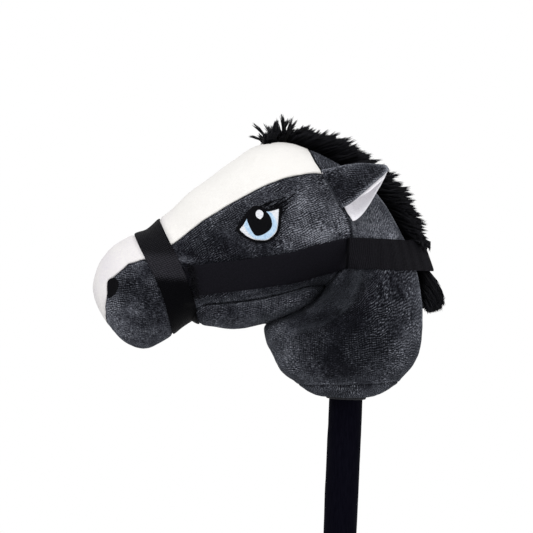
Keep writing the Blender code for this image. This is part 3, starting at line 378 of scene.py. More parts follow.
def fitted(pattern: Array, length: float) -> Array:
    """A pattern of distances fitted to another length, its fine ends kept where there is room."""
    whole = pattern[-1]
    edge = min(EDGE_OFFSETS[-1], length / 5)
    inner = np.interp(pattern, (EDGE_OFFSETS[-1], whole - EDGE_OFFSETS[-1]), (edge, length - edge))
    low = pattern / EDGE_OFFSETS[-1] * edge
    high = length - (whole - pattern) / EDGE_OFFSETS[-1] * edge
    inner = np.where(pattern > whole - EDGE_OFFSETS[-1], high, inner)
    return np.where(pattern < EDGE_OFFSETS[-1], low, inner)


FORM = StuffedForm()


class Caster:
    """Finds places on the smooth form by looking along straight lines that start clear of it."""

    clear: float = 0.25

    def __init__(self, with_jaw: bool = False) -> None:
        """Builds the tree from the form, and from the jaw pad where asked."""
        u = np.linspace(0.0, NECK_END, 260)
        points = FORM.surface(u[:, None], np.linspace(0.0, 360.0, 241)[:-1])
        grids = [points, JawPad().smooth_form()] if with_jaw else [points]
        corners, faces = [], []
        for grid in grids:
            faces += ring_faces(*grid.shape[:2], len(corners)).tolist()
            corners += grid.reshape(-1, 3).tolist()
        self.tree = BVHTree.FromPolygons(corners, faces)

    def onto(self, starts: Array, directions: Array) -> Array:
        """Where lines first meet the form; a line that misses keeps its start."""
        flat = starts.reshape(-1, 3)
        aims = np.broadcast_to(directions, starts.shape).reshape(-1, 3)
        hits = [self.tree.ray_cast(Vector(p), Vector(d))[0] or Vector(p) for p, d in zip(flat, aims)]
        return np.array(hits).reshape(starts.shape)

    def from_left(self, places: Array) -> Array:
        """The form's points that the side view shows at places given as (x, height above the neck's base)."""
        far = np.full(places.shape[:-1], -self.clear)
        starts = np.stack([places[..., 0], far, places[..., 1] + NECK_BASE], axis=-1)
        return self.onto(starts, np.array((0.0, 1.0, 0.0)))

    def normals(self, points: Array) -> Array:
        """The form's outward normals beside points."""
        found = [self.tree.find_nearest(Vector(point))[1] for point in points.reshape(-1, 3)]
        return np.array(found).reshape(points.shape)

    def stand_off(self, points: Array) -> Array:
        """How far points lie outside the form, below zero inside it."""
        result = []
        for point in points.reshape(-1, 3):
            place, normal, _, distance = self.tree.find_nearest(Vector(point))
            result.append(math.copysign(distance, (Vector(point) - place).dot(normal)))
        return np.array(result).reshape(points.shape[:-1])


# Meshes
def deselect_all() -> None:
    """Leaves nothing selected."""
    for thing in bpy.context.view_layer.objects:
        thing.select_set(False)


def mesh_piece(name: str, points: Array, faces: Array, maps: dict[str, Array], finish: "Finish",
               mend: bool = True) -> Piece:
    """A smooth mesh from arrays.

    Args:
        name: the piece's name.
        points: its corners.
        faces: the corners of each face, all faces alike.
        maps: texture coordinates for each corner of each face, by map name.
        finish: what it is made of.
        mend: whether corners at one place are joined and the faces are turned outwards.

    Returns:
        The piece.
    """
    mesh = bpy.data.meshes.new(name)
    mesh.from_pydata(points.reshape(-1, 3).tolist(), [], faces.tolist())
    for map_name, values in maps.items():
        layer = mesh.uv_layers.new(name=map_name)
        layer.data.foreach_set("uv", np.ascontiguousarray(values, np.float32).ravel())
    if mend:
        shape = bmesh.new()
        shape.from_mesh(mesh)
        bmesh.ops.remove_doubles(shape, verts=shape.verts, dist=1e-6)
        if shape.calc_volume(signed=True) < 0:
            bmesh.ops.reverse_faces(shape, faces=shape.faces)
        shape.to_mesh(mesh)
        shape.free()
    mesh.shade_smooth()
    mesh.materials.append(finish.material())
    made = bpy.data.objects.new(name, mesh)
    bpy.context.scene.collection.objects.link(made)
    return made


def sheet_piece(name: str, outer: Array, inner: Array, nap: Array, finish: "Finish",
                ring: bool = False) -> Piece:
    """A closed shell between two matching grids.

    Args:
        name: the piece's name.
        outer: points of the face that shows, by row and column.
        inner: points of the face behind it.
        nap: distances over the cloth at each point, for patterns that follow it.
        finish: what it is made of.
        ring: whether the last row is the first one again, so that there is no end to close.

    Returns:
        The piece.
    """
    rows, columns = outer.shape[:2]
    total = rows * columns
    numbers = np.arange(total).reshape(rows, columns)
    corners = [numbers[:-1, :-1], numbers[:-1, 1:], numbers[1:, 1:], numbers[1:, :-1]]
    front = np.stack(corners, -1).reshape(-1, 4)
    back = front[:, ::-1] + total
    borders = [numbers[::-1, 0], numbers[:, -1]]
    if not ring:
        borders += [numbers[0], numbers[-1, ::-1]]
    rims = [np.stack([line[1:], line[:-1], line[:-1] + total, line[1:] + total], -1) for line in borders]
    # The bake map: the front in the lower half, the back over it, and the rims in bands at the top
    across, down = np.meshgrid(np.linspace(0, 1, columns), np.linspace(0, 1, rows))
    place = np.concatenate([np.stack([across, 0.48 * down], -1).reshape(-1, 2),
                            np.stack([across, 0.5 + 0.38 * down], -1).reshape(-1, 2)])
    spots = [place[front], place[back]]
    for i, rim in enumerate(rims):
        start = np.arange(len(rim)) / len(rim)
        low, width = 0.9 + 0.025 * i, 1 / len(rim)
        square = np.array(((width, 0.0), (0.0, 0.0), (0.0, 0.02), (width, 0.02)))
        spots.append(np.stack([start, np.full(len(rim), low)], -1)[:, None, :] + square)
    faces = np.concatenate([front, back, *rims])
    cloth = np.concatenate([nap.reshape(-1, 2)] * 2)[faces]
    points = np.concatenate([outer.reshape(-1, 3), inner.reshape(-1, 3)])
    return mesh_piece(name, points, faces, {"nap": cloth, "OFBake": np.concatenate(spots)}, finish)


def cloth_lengths(grid: Array) -> Array:
    """Distances across and along a grid's middle, as a map that follows the cloth."""
    across = lengths(grid, 1)
    across -= across[:, -1:] / 2
    down = lengths(grid[:, grid.shape[1] // 2])
    return np.stack([across, np.broadcast_to(down[:, None], across.shape)], -1)


# Shader helpers
def add_node(tree: Tree, kind: str, values: dict | None = None, **settings: object) -> Node:
    """A new node.

    Args:
        tree: where it goes.
        kind: its type.
        values: what goes into its sockets, numbers or other nodes' sockets, by socket name or number.
        settings: its own settings.

    Returns:
        The node.
    """
    made = tree.nodes.new(kind)
    for key, value in settings.items():
        setattr(made, key, value)
    for key, value in (values or {}).items():
        if isinstance(value, Socket):
            tree.links.new(value, made.inputs[key])
        else:
            made.inputs[key].default_value = value
    return made


def maths(tree: Tree, operation: str, *values: object) -> Socket:
    """The result of a Math node."""
    return add_node(tree, "ShaderNodeMath", dict(enumerate(values)), operation=operation).outputs[0]


def scaled_by(tree: Tree, source: Socket, sizes: Triple,
              turn: float = 0.0) -> Socket:
    """Coordinates divided by the sizes of a pattern, and turned in their plane by degrees first."""
    rotation, scale = (0.0, 0.0, math.radians(turn)), tuple(1 / size for size in sizes)
    turned = add_node(tree, "ShaderNodeMapping", {"Vector": source, "Rotation": rotation})
    return add_node(tree, "ShaderNodeMapping", {"Vector": turned.outputs[0], "Scale": scale}).outputs[0]


def noise_at(tree: Tree, place: Socket, detail: float = 2.0,
             rough: float = 0.5) -> Socket:
    """Noise with hills one unit apart."""
    values = {"Vector": place, "Scale": 1.0, "Detail": detail, "Roughness": rough}
    return add_node(tree, "ShaderNodeTexNoise", values).outputs["Fac"]


def spread_of(tree: Tree, value: Socket, low: float, high: float,
              to_low: float = 0.0, to_high: float = 1.0) -> Socket:
    """A value's range moved to another range."""
    values = {"Value": value, "From Min": low, "From Max": high, "To Min": to_low, "To Max": to_high}
    return add_node(tree, "ShaderNodeMapRange", values).outputs[0]


def new_group(name: str, inputs: dict[str, object]) -> tuple[Tree, bpy.types.NodeOutputs, Node]:
    """A shader node group whose outputs are a shade and a height.

    Args:
        name: the group's name.
        inputs: its inputs with their defaults, where a tuple is a vector.

    Returns:
        The group, its input sockets by name, and its output node.
    """
    tree = bpy.data.node_groups.new(name, "ShaderNodeTree")
    for socket_name, default in inputs.items():
        kind = "NodeSocketVector" if isinstance(default, tuple) else "NodeSocketFloat"
        tree.interface.new_socket(socket_name, in_out="INPUT", socket_type=kind).default_value = default
    for socket_name in ("Shade", "Height"):
        tree.interface.new_socket(socket_name, in_out="OUTPUT", socket_type="NodeSocketFloat")
    entry, leave = tree.nodes.new("NodeGroupInput"), tree.nodes.new("NodeGroupOutput")
    return tree, entry.outputs, leave


def lead_out(tree: Tree, leave: Node, shade: Socket, height: Socket) -> Tree:
    """Ends a group with its shade and its height."""
    tree.links.new(shade, leave.inputs["Shade"])
    tree.links.new(height, leave.inputs["Height"])
    return tree


@dataclass(frozen=True)
class Nap:
    """Sizes and strengths of short brushed pile's pattern, with larger areas that are brushed either way."""

    fleck: Triple = (0.9 * MM, 1.3 * MM, 0.9 * MM)
    streak: Triple = (0.85 * MM, 2.8 * MM, 1.0)
    streak_turn: float = 4.0
    areas: Triple = (24 * MM, 36 * MM, 22 * MM)
    tufts: Triple = (6 * MM, 9 * MM, 6 * MM)
    knitted: Triple = (30 * MM, 50 * MM, 26 * MM)
    combed: Triple = (17 * MM, 30 * MM, 21 * MM)
    wander: Triple = (9 * MM, 11 * MM, 1.0)
    row_pitch: float = 1.65 * MM
    stitch_pitch: float = 2.1 * MM
    row_wander: float = 21.0
    stitch_wander: float = 9.0
    fleck_strength: float = 1.15
    stitch_strength: float = 0.38
    rib_strength: tuple[float, float] = (0.21, 0.05)
    area_strength: float = 0.16
    tuft_strength: float = 0.45
    middle: float = 0.525
    contrast: float = 0.8

    def waves(self, tree: Tree, place: Socket, pitch: float, wander: Socket, strength: float) -> Socket:
        """Even waves along a measure of the cloth, led astray by noise."""
        astray = maths(tree, "MULTIPLY", wander, strength)
        return maths(tree, "SINE", maths(tree, "MULTIPLY_ADD", place, 2 * math.pi / pitch, astray))

    def knit(self, tree: Tree, place: Socket, cloth: Socket) -> Socket:
        """Knit rows with their stitches, clearer in some areas than in others."""
        where = noise_at(tree, scaled_by(tree, place, self.knitted), 1.0)
        strength = maths(tree, "MULTIPLY_ADD", spread_of(tree, where, 0.38, 0.58), *self.rib_strength)
        wander = noise_at(tree, scaled_by(tree, cloth, self.wander), 1.0)
        parts = add_node(tree, "ShaderNodeSeparateXYZ", {"Vector": cloth})
        rows = self.waves(tree, parts.outputs[0], self.row_pitch, wander, self.row_wander)
        stitches = self.waves(tree, parts.outputs[1], self.stitch_pitch, wander, self.stitch_wander)
        both = maths(tree, "MULTIPLY_ADD", stitches, self.stitch_strength, rows)
        return maths(tree, "MULTIPLY", both, strength)

    def group(self) -> Tree:
        """The pattern as a node group."""
        tree, given, leave = new_group("Nap", {"Place": ORIGIN, "Cloth": ORIGIN, "Fleck": 1.0, "Rows": 1.0,
                                               "Mottle": 1.0, "Brushed": 0.0})
        place, cloth = given["Place"], given["Cloth"]
        fleck = noise_at(tree, scaled_by(tree, place, self.fleck), 1.0, 0.6)
        streak = noise_at(tree, scaled_by(tree, cloth, self.streak, self.streak_turn), 1.0)
        areas = noise_at(tree, scaled_by(tree, place, self.areas), 1.5)
        tufts = noise_at(tree, scaled_by(tree, place, self.tufts), 1.0)
        combed = noise_at(tree, scaled_by(tree, place, self.combed), 1.0)
        combed = spread_of(tree, combed, 0.45, 0.68, 0.7, 2.4)
        streaks = maths(tree, "MULTIPLY", maths(tree, "SUBTRACT", streak, 0.5), combed)
        fine = maths(tree, "MULTIPLY_ADD", maths(tree, "SUBTRACT", fleck, 0.5), self.fleck_strength, streaks)
        fine = maths(tree, "MULTIPLY", fine, given["Fleck"])
        ribs = maths(tree, "MULTIPLY", self.knit(tree, place, cloth), given["Rows"])
        patches = maths(tree, "SUBTRACT", spread_of(tree, areas, 0.42, 0.58), 0.5)
        mottle = maths(tree, "MULTIPLY", maths(tree, "SUBTRACT", tufts, 0.5), self.tuft_strength)
        broad = maths(tree, "MULTIPLY_ADD", patches, self.area_strength, mottle)
        # The Brushed input adds brushed areas together with painted shade and painted highlight kept on each
        # piece
        broad = maths(tree, "MULTIPLY_ADD", broad, given["Mottle"], given["Brushed"])
        shade = maths(tree, "ADD", maths(tree, "ADD", fine, ribs), maths(tree, "ADD", broad, self.middle))
        height = maths(tree, "ADD", fleck, maths(tree, "MULTIPLY", streak, 0.7))
        height = maths(tree, "ADD", height, maths(tree, "MULTIPLY", ribs, 1.8))
        return lead_out(tree, leave, maths(tree, "MULTIPLY", shade, self.contrast), height)


@lru_cache(maxsize=None)
def nap_group() -> Tree:
    """The nap's group, made once."""
    return Nap().group()


@lru_cache(maxsize=None)
def weave_group() -> Tree:
    """Woven webbing: threads across and along, in steps that make a twill, the raised threads painted lighter
    as a painted highlight, with finer wear over them.
    """
    tree, given, leave = new_group("Weave", {"Cloth": ORIGIN, "Across": 0.9, "Along": 0.9, "Twill": 1.0})
    parts = add_node(tree, "ShaderNodeSeparateXYZ", {"Vector": given["Cloth"]})
    across, along = (maths(tree, "DIVIDE", maths(tree, "MULTIPLY", parts.outputs[i], 1000.0), given[size])
                     for i, size in enumerate(("Across", "Along")))
    slant = maths(tree, "MULTIPLY_ADD", along, given["Twill"], across)
    ridge = maths(tree, "ABSOLUTE", maths(tree, "SINE", maths(tree, "MULTIPLY", slant, math.pi)))
    thread = maths(tree, "ABSOLUTE", maths(tree, "SINE", maths(tree, "MULTIPLY", along, math.pi)))
    wear = noise_at(tree, scaled_by(tree, given["Cloth"], (1.2 * MM, 1.2 * MM, 1.0)), 3.0, 0.6)
    height = maths(tree, "MULTIPLY", ridge, maths(tree, "MULTIPLY_ADD", thread, 1.0, 0.45))
    wear = maths(tree, "SUBTRACT", wear, 0.5)
    shade = maths(tree, "MULTIPLY_ADD", wear, 0.9, maths(tree, "MULTIPLY", height, 0.6))
    return lead_out(tree, leave, shade, height)


@lru_cache(maxsize=None)
def satin_group() -> Tree:
    """Embroidery thread laid side by side, each thread a round ridge painted lighter on its crown as a
    painted highlight, with a painted sheen that differs slightly from thread to thread.
    """
    tree, given, leave = new_group("Satin", {"Cloth": ORIGIN, "Pitch": 0.4})
    parts = add_node(tree, "ShaderNodeSeparateXYZ", {"Vector": given["Cloth"]})
    threads = maths(tree, "DIVIDE", maths(tree, "MULTIPLY", parts.outputs[0], 1000.0), given["Pitch"])
    ridge = maths(tree, "ABSOLUTE", maths(tree, "SINE", maths(tree, "MULTIPLY", threads, math.pi)))
    number = maths(tree, "FLOOR", threads)
    own = add_node(tree, "ShaderNodeTexWhiteNoise", {"W": number}, noise_dimensions="1D").outputs["Value"]
    uneven = noise_at(tree, scaled_by(tree, given["Cloth"], (1.1 * MM, 2.4 * MM, 1.0)), 2.0, 0.6)
    shade = maths(tree, "MULTIPLY_ADD", own, 0.3, maths(tree, "MULTIPLY", ridge, 0.4))
    shade = maths(tree, "ADD", shade, 0.15)
    shade = maths(tree, "MULTIPLY_ADD", maths(tree, "SUBTRACT", uneven, 0.5), 1.3, shade)
    return lead_out(tree, leave, shade, ridge)



@dataclass(frozen=True)
class Finish:
    """What a piece is made of. Each kind of finish paints its own material."""

    name: str
    slot: str

    def material(self) -> Material:
        """The finish's material, made once."""
        found = bpy.data.materials.get(self.name)
        if found:
            return found
        made = bpy.data.materials.new(self.name)
        made.use_nodes = True
        self.paint(made.node_tree, made.node_tree.nodes["Principled BSDF"])
        return made

    def paint(self, tree: Tree, shader: Node) -> None:
        """Fills in the material's nodes."""
        raise NotImplementedError

    @staticmethod
    def cloth(tree: Tree) -> Socket:
        """The piece's map of distances over its cloth."""
        return add_node(tree, "ShaderNodeUVMap", uv_map="nap").outputs[0]

    @staticmethod
    def brushed(tree: Tree) -> Socket:
        """How much lighter or darker the piece is at each point, from brushed pile and from painted shade and
        painted highlight.
        """
        return add_node(tree, "ShaderNodeAttribute", attribute_name="brushed").outputs["Fac"]

    @staticmethod
    def constants(shader: Node, values: dict[str, object]) -> None:
        """Sets constants on the shader's own sockets."""
        for key, value in values.items():
            shader.inputs[key].default_value = value

    @staticmethod
    def shades(tree: Tree, shader: Node, value: Socket,
               stops: Stops) -> None:
        """Colours the shader by a value through stops of (value, colour)."""
        node = add_node(tree, "ShaderNodeValToRGB", {"Fac": value})
        elements = node.color_ramp.elements
        while len(elements) < len(stops):
            elements.new(0.5)
        for element, (place, colour) in zip(elements, stops):
            element.position, element.color = place, (*colour, 1.0)
        tree.links.new(node.outputs["Color"], shader.inputs["Base Color"])

    @staticmethod
    def relief(tree: Tree, shader: Node, height: Socket,
               distance: float, strength: float = 1.0) -> None:
        """Raises the shader's surface by a height."""
        values = {"Height": height, "Distance": distance, "Strength": strength}
        bump = add_node(tree, "ShaderNodeBump", values)
        tree.links.new(bump.outputs[0], shader.inputs["Normal"])


@dataclass(frozen=True)
class Plush(Finish):
    """Short-pile plush, from its dark roots to its light tips."""

    stops: Stops
    sheen: float
    sheen_tint: Triple
    fleck: float = 1.0
    rows: float = 1.0
    mottle: float = 1.0
    depth: float = 0.7 * MM

    def paint(self, tree: Tree, shader: Node) -> None:
        """Pile, knit rows and brushed areas."""
        place = add_node(tree, "ShaderNodeTexCoord").outputs["Object"]
        given = {"Place": place, "Cloth": self.cloth(tree), "Brushed": self.brushed(tree),
                 "Fleck": self.fleck, "Rows": self.rows, "Mottle": self.mottle}
        nap = add_node(tree, "ShaderNodeGroup", given, node_tree=nap_group())
        self.shades(tree, shader, nap.outputs["Shade"], self.stops)
        self.relief(tree, shader, nap.outputs["Height"], self.depth)
        self.constants(shader, {"Roughness": 0.95, "Specular IOR Level": 0.03, "Sheen Weight": self.sheen,
                                "Sheen Roughness": 0.32, "Sheen Tint": (*self.sheen_tint, 1.0)})


@dataclass(frozen=True)
class Webbing(Finish):
    """Woven black webbing."""

    across: float
    along: float
    twill: float
    dark: Triple = (0.0017, 0.0016, 0.0028)
    light: Triple = (0.0152, 0.0145, 0.0200)
    depth: float = 0.12 * MM

    def paint(self, tree: Tree, shader: Node) -> None:
        """Threads and their wear."""
        given = {"Cloth": self.cloth(tree), "Across": self.across, "Along": self.along, "Twill": self.twill}
        weave = add_node(tree, "ShaderNodeGroup", given, node_tree=weave_group())
        shade = maths(tree, "ADD", weave.outputs["Shade"], self.brushed(tree))
        self.shades(tree, shader, shade, ((0.15, self.dark), (0.95, self.light)))
        self.relief(tree, shader, weave.outputs["Height"], self.depth)
        roughness = spread_of(tree, weave.outputs["Shade"], 0.0, 1.0, 0.7, 0.48)
        tree.links.new(roughness, shader.inputs["Roughness"])
        self.constants(shader, {"Specular IOR Level": 0.035, "Sheen Weight": 0.006, "Sheen Roughness": 0.35})


@dataclass(frozen=True)
class Thread(Finish):
    """Shiny embroidery thread in satin stitch, its pitch in millimetres."""

    dark: Triple
    light: Triple
    gloss: float = 0.3
    pitch: float = 0.42

    def paint(self, tree: Tree, shader: Node) -> None:
        """Thread beside thread."""
        given = {"Cloth": self.cloth(tree), "Pitch": self.pitch}
        satin = add_node(tree, "ShaderNodeGroup", given, node_tree=satin_group())
        self.shades(tree, shader, satin.outputs["Shade"], ((0.0, self.dark), (0.9, self.light)))
        self.relief(tree, shader, satin.outputs["Height"], 0.1 * MM)
        self.constants(shader, {"Roughness": 0.42, "Specular IOR Level": self.gloss})


@dataclass(frozen=True)
class Hair(Finish):
    """Long black pile. Its map holds a number for each strand, and the share from root to tip."""

    root: Triple = (0.0008, 0.0008, 0.0012)
    tip: Triple = (0.030, 0.030, 0.038)

    def paint(self, tree: Tree, shader: Node) -> None:
        """Painted shade at the roots and a painted sheen towards the tips, which differs from strand to
        strand.
        """
        strand = add_node(tree, "ShaderNodeUVMap", uv_map="strand").outputs[0]
        parts = add_node(tree, "ShaderNodeSeparateXYZ", {"Vector": strand})
        each = noise_at(tree, scaled_by(tree, parts.outputs[0], (0.05, 1.0, 1.0)), 1.0)
        picked = spread_of(tree, each, 0.42, 0.72)
        shade = maths(tree, "MULTIPLY", maths(tree, "MULTIPLY_ADD", picked, 0.85, 0.15), parts.outputs[1])
        self.shades(tree, shader, shade, ((0.0, self.root), (1.0, self.tip)))
        self.constants(shader, {"Roughness": 0.45, "Specular IOR Level": 0.09})


@dataclass(frozen=True)
class Plain(Finish):
    """A finish with one colour that varies gently, and a fine surface."""

    dark: Triple
    light: Triple
    size: Triple
    roughness: tuple[float, float]
    depth: float = 0.05 * MM
    specular: float = 0.5

    def paint(self, tree: Tree, shader: Node) -> None:
        """Soft variation in colour, gloss and height."""
        place = add_node(tree, "ShaderNodeTexCoord").outputs["Object"]
        value = noise_at(tree, scaled_by(tree, place, self.size), 5.0, 0.6)
        self.shades(tree, shader, value, ((0.3, self.dark), (0.7, self.light)))
        tree.links.new(spread_of(tree, value, 0.3, 0.7, *self.roughness), shader.inputs["Roughness"])
        self.relief(tree, shader, value, self.depth)
        self.constants(shader, {"Specular IOR Level": self.specular})


# Grey plush; its lightest stop, at 1.0, is there for the painted highlights on ear rims and folds
GREY_PLUSH = Plush("GreyPlush", "grey_plush",
                   ((0.0, (0.0025, 0.0027, 0.0038)), (0.256, (0.0075, 0.0079, 0.0105)),
                    (0.4, (0.0175, 0.0184, 0.0235)), (0.544, (0.040, 0.042, 0.051)),
                    (0.8, (0.11, 0.115, 0.134)), (1.0, (0.30, 0.31, 0.35))), 0.13, (0.62, 0.68, 0.80))
# White plush; its lilac lowest stop colours the painted shade towards the nose
WHITE_PLUSH = Plush("WhitePlush", "white_plush",
                    ((0.0, (0.70, 0.66, 0.72)), (0.36, (0.83, 0.808, 0.775)), (0.8, (0.95, 0.935, 0.905))),
                    0.06, (1.0, 1.0, 1.0), 0.22, 0.12, 0.3, 0.25 * MM)
LINING_PLUSH = Plush("LiningPlush", "lining_plush",
                     ((0.0, (0.76, 0.74, 0.79)), (0.35, (0.91, 0.89, 0.93)), (0.7, (0.97, 0.95, 0.98))),
                     0.12, (1.0, 1.0, 1.0), 0.6, 0.4, 0.5, 0.3 * MM)
SMOOTH_WEBBING = Webbing("SmoothWebbing", "webbing", 0.55, 0.9, 1.0)
TWILL_WEBBING = Webbing("TwillWebbing", "webbing", 1.6, 1.6, 1.0, (0.0008, 0.0008, 0.0014),
                        (0.042, 0.041, 0.049), 0.3 * MM)
RIBBED_WEBBING = Webbing("RibbedWebbing", "webbing", 0.7, 1.5, 0.0, (0.0008, 0.0007, 0.0013),
                         (0.0165, 0.0158, 0.0200))
BLACK_THREAD = Thread("BlackThread", "black_thread", (0.0004, 0.0004, 0.0008), (0.0028, 0.0028, 0.0040),
                      0.035)
WHITE_THREAD = Thread("WhiteThread", "white_thread", (0.58, 0.60, 0.66), (0.92, 0.93, 0.95))
IRIS_THREAD = Thread("IrisThread", "iris_thread", (0.20, 0.39, 0.64), (0.66, 0.82, 0.95))
MANE_HAIR = Hair("ManeHair", "mane_pile")
SLEEVE_CLOTH = Plain("SleeveCloth", "sleeve", (0.0011, 0.0010, 0.0030), (0.0027, 0.0025, 0.0058),
                     (1.1 * MM, 1.1 * MM, 9 * MM), (0.85, 0.7), 0.1 * MM, 0.02)
BACKING_CLOTH = Plain("BackingCloth", "backing", (0.012, 0.012, 0.014), (0.03, 0.03, 0.034),
                      (0.9 * MM, 0.9 * MM, 0.9 * MM), (0.95, 0.85), 0.12 * MM, 0.2)
FIBRE = Plain("Fibre", "fibre", (0.62, 0.61, 0.60), (0.9, 0.89, 0.88), (7 * MM, 7 * MM, 3 * MM), (1.0, 0.9),
              1.2 * MM, 0.1)
RUBBER = Plain("Rubber", "rubber", (0.010, 0.010, 0.011), (0.022, 0.022, 0.023), (4 * MM, 4 * MM, 4 * MM),
               (0.75, 0.55), 0.06 * MM)
WOOD = Plain("Wood", "wood", (0.42, 0.28, 0.15), (0.70, 0.53, 0.34), (2.2 * MM, 2.2 * MM, 70 * MM),
             (0.7, 0.5), 0.08 * MM)
PLASTIC = Plain("Plastic", "plastic", (0.66, 0.66, 0.64), (0.78, 0.78, 0.76), (9 * MM, 9 * MM, 9 * MM),
                (0.5, 0.4))


def settle(piece: Piece, finish: Finish, *nodes: str, body: Body = Body.TOY,
           fill: float | None = None) -> Piece:
    """Gives a finished piece its body and hides the solids that it stands for.

    Args:
        piece: the piece.
        finish: what it is made of; not used.
        nodes: the solids that it replaces.
        body: what it rides on.
        fill: how full it is stuffed, where it is padded; not used.

    Returns:
        The piece.
    """
    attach(piece, body.value)
    if nodes:
        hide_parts(*nodes)
    log.info("%s: %d faces on %s", piece.name, len(piece.data.polygons), body.value)
    return piece


# Halter paths, found before the plush so that it can bulge beside them
@dataclass
class Strap:
    """A length of webbing: its middle face on the smooth form, by row along it and column across it."""

    grid: Array
    ring: bool = False

    @property
    def normals(self) -> Array:
        """Outward normals of its grid."""
        if self.ring:
            normals = np.concatenate([grid_normals(self.grid[:-1], True)] * 2)[:len(self.grid)]
        else:
            normals = grid_normals(self.grid)
        centre = self.grid.mean(axis=(0, 1)) * np.array((1.0, 0.0, 1.0))
        return normals * np.sign(np.sum(normals * (self.grid - centre)))


@dataclass
class Halter:
    """Noseband, cheek straps and neck band of webbing."""

    noseband_top: Point = (-0.1735, 0.1345)
    noseband_bottom: Point = (-0.1400, 0.0570)
    noseband_bow: float = 0.0050
    settle_length: float = 0.006
    cheek_path: tuple[Point, ...] = ((-0.1375, 0.0925), (-0.1140, 0.0970), (-0.0920, 0.1003),
                                     (-0.0500, 0.1086), (-0.0285, 0.1157), (-0.0062, 0.1219))
    band_height: float = 0.1220
    band_reach: float = 0.0145
    band_overhang: float = 0.4 * MM
    band_rib: float = 1.7 * MM
    band_rib_depth: float = 0.34 * MM
    cheek_rows: int = 230
    nose_rows: int = 420
    band_rows: int = 541
    band_samples: int = 641
    columns: int = 27
    weave_from: float = 0.0985
    weave_to: float = 0.1100
    join_width: float = 1.0 * MM
    fray_place: float = -0.1360
    fray_threads: int = 420
    fray_rows: int = 9
    fray_out: float = 1.4 * MM
    fray_width: float = 0.45 * MM
    straps: dict[str, Strap] = field(default_factory=dict)

    def lay_out(self, caster: Caster, jaw_too: Caster, mane: "Mane") -> None:
        """Finds every strap's path."""
        self.straps["cheek"] = Strap(self.cheek_grid(caster))
        self.straps["nose"] = Strap(self.nose_grid(jaw_too), True)
        self.straps["neck"] = Strap(self.neck_grid(caster, mane))

    def footprint(self) -> Array:
        """Points of the smooth form that lie under straps, on both sides."""
        cheek = self.straps["cheek"].grid[::3, ::2].reshape(-1, 3)
        both = [cheek, Side.RIGHT.mirror(cheek)]
        both += [self.straps[name].grid[::3, ::2].reshape(-1, 3) for name in ("nose", "neck")]
        return np.concatenate(both)

    def cheek_grid(self, caster: Caster) -> Array:
        """The left cheek strap, from under the noseband to the face seam."""
        centre = open_curve(self.cheek_path, self.cheek_rows)
        run = unit(np.gradient(centre, axis=0))
        across = np.stack([-run[:, 1], run[:, 0]], -1)
        share = ramp((centre[:, 0] + 0.0075) / 0.0015)[:, None]
        across = unit(across * (1 - share) + np.array((0.0, 1.0)) * share)
        shares = np.linspace(-0.5, 0.5, self.columns)
        places = centre[:, None, :] + across[:, None, :] * shares[:, None] * WEBBING_WIDTH
        return smoothed(caster.from_left(places), 6)

    def nose_grid(self, caster: Caster) -> Array:
        """The ring round the muzzle, its last row the first again."""
        top = np.array((self.noseband_top[0], 0.0, self.noseband_top[1] + NECK_BASE))
        bottom = np.array((self.noseband_bottom[0], 0.0, self.noseband_bottom[1] + NECK_BASE))
        centre, high = (top + bottom) / 2, unit(top - bottom)
        back = np.array((high[2], 0.0, -high[0]))
        back = back * np.sign(back[0])
        turn = np.linspace(0.0, 2 * np.pi, self.nose_rows + 1)[:-1, None, None]
        direction = high * np.cos(turn) + np.array((0.0, -1.0, 0.0)) * np.sin(turn)
        bow = self.noseband_bow * np.sin(turn) ** 2 * (1 - 0.5 * np.cos(turn))
        shares = np.linspace(-0.5, 0.5, self.columns)[None, :, None]
        starts = centre + back * (bow + shares * WEBBING_WIDTH) + direction * caster.clear
        grid = smoothed(caster.onto(starts, -np.broadcast_to(direction, starts.shape)), 10, True)
        return np.concatenate([grid, grid[:1]])

    def neck_grid(self, caster: Caster, mane: "Mane") -> Array:
        """The band from seam to seam round the back of the neck, taut over the mane."""
        middle = NECK_BASE + self.band_height
        points = FORM.surface(np.linspace(FACE_SEAM - 1.0, NECK_END, 120)[:, None],
                              np.linspace(0.0, 360.0, 160)).reshape(-1, 3)
        points = np.concatenate([points, mane.arch_points()])
        end_x = self.cheek_path[-1][0]
        near = (np.abs(points[:, 2] - middle) < self.band_reach) & (points[:, 0] > end_x - WEBBING_WIDTH / 2)
        shape = bmesh.new()
        for point in points[near]:
            shape.verts.new(point)
        bmesh.ops.convex_hull(shape, input=shape.verts)
        tree = BVHTree.FromBMesh(shape)
        shape.free()
        columns = []
        for share in np.linspace(-0.5, 0.5, self.columns):
            height = self.band_height + share * WEBBING_WIDTH
            edge = caster.from_left(np.array((end_x + self.band_overhang, height)))
            centre = np.array((BAND_CENTRE_X, 0.0, height + NECK_BASE))
            turns = math.atan2(-edge[1], edge[0] - centre[0]) * np.linspace(-1.0, 1.0, self.band_samples)
            line = []
            for turn in turns:
                direction = np.array((math.cos(turn), math.sin(turn), 0.0))
                hit = tree.ray_cast(Vector(centre + direction * caster.clear), Vector(-direction))[0]
                if hit is None:
                    hit = edge * (1, math.copysign(1, turn) * math.copysign(1, edge[1]), 1)
                line.append(hit)
            columns.append(along_line(np.array(line), self.band_rows))
        return smoothed(np.stack(columns, axis=1), 24)

    def lift_over_cheek(self, points: Array) -> Array:
        """How far the noseband is raised where it passes over a cheek strap's end."""
        start, end = (np.array((p[0], p[1] + NECK_BASE)) for p in self.cheek_path[:2])
        run = unit(end - start)
        offset = points[..., [0, 2]] - start
        top = STRAP_GAP + WEBBING_THICKNESS
        along = offset @ run
        across = np.abs(offset @ np.array((-run[1], run[0]))) - WEBBING_WIDTH / 2
        over = ramp((along + self.settle_length + top) / self.settle_length)
        beside = ramp((self.settle_length + top - across) / self.settle_length)
        return top * over * beside

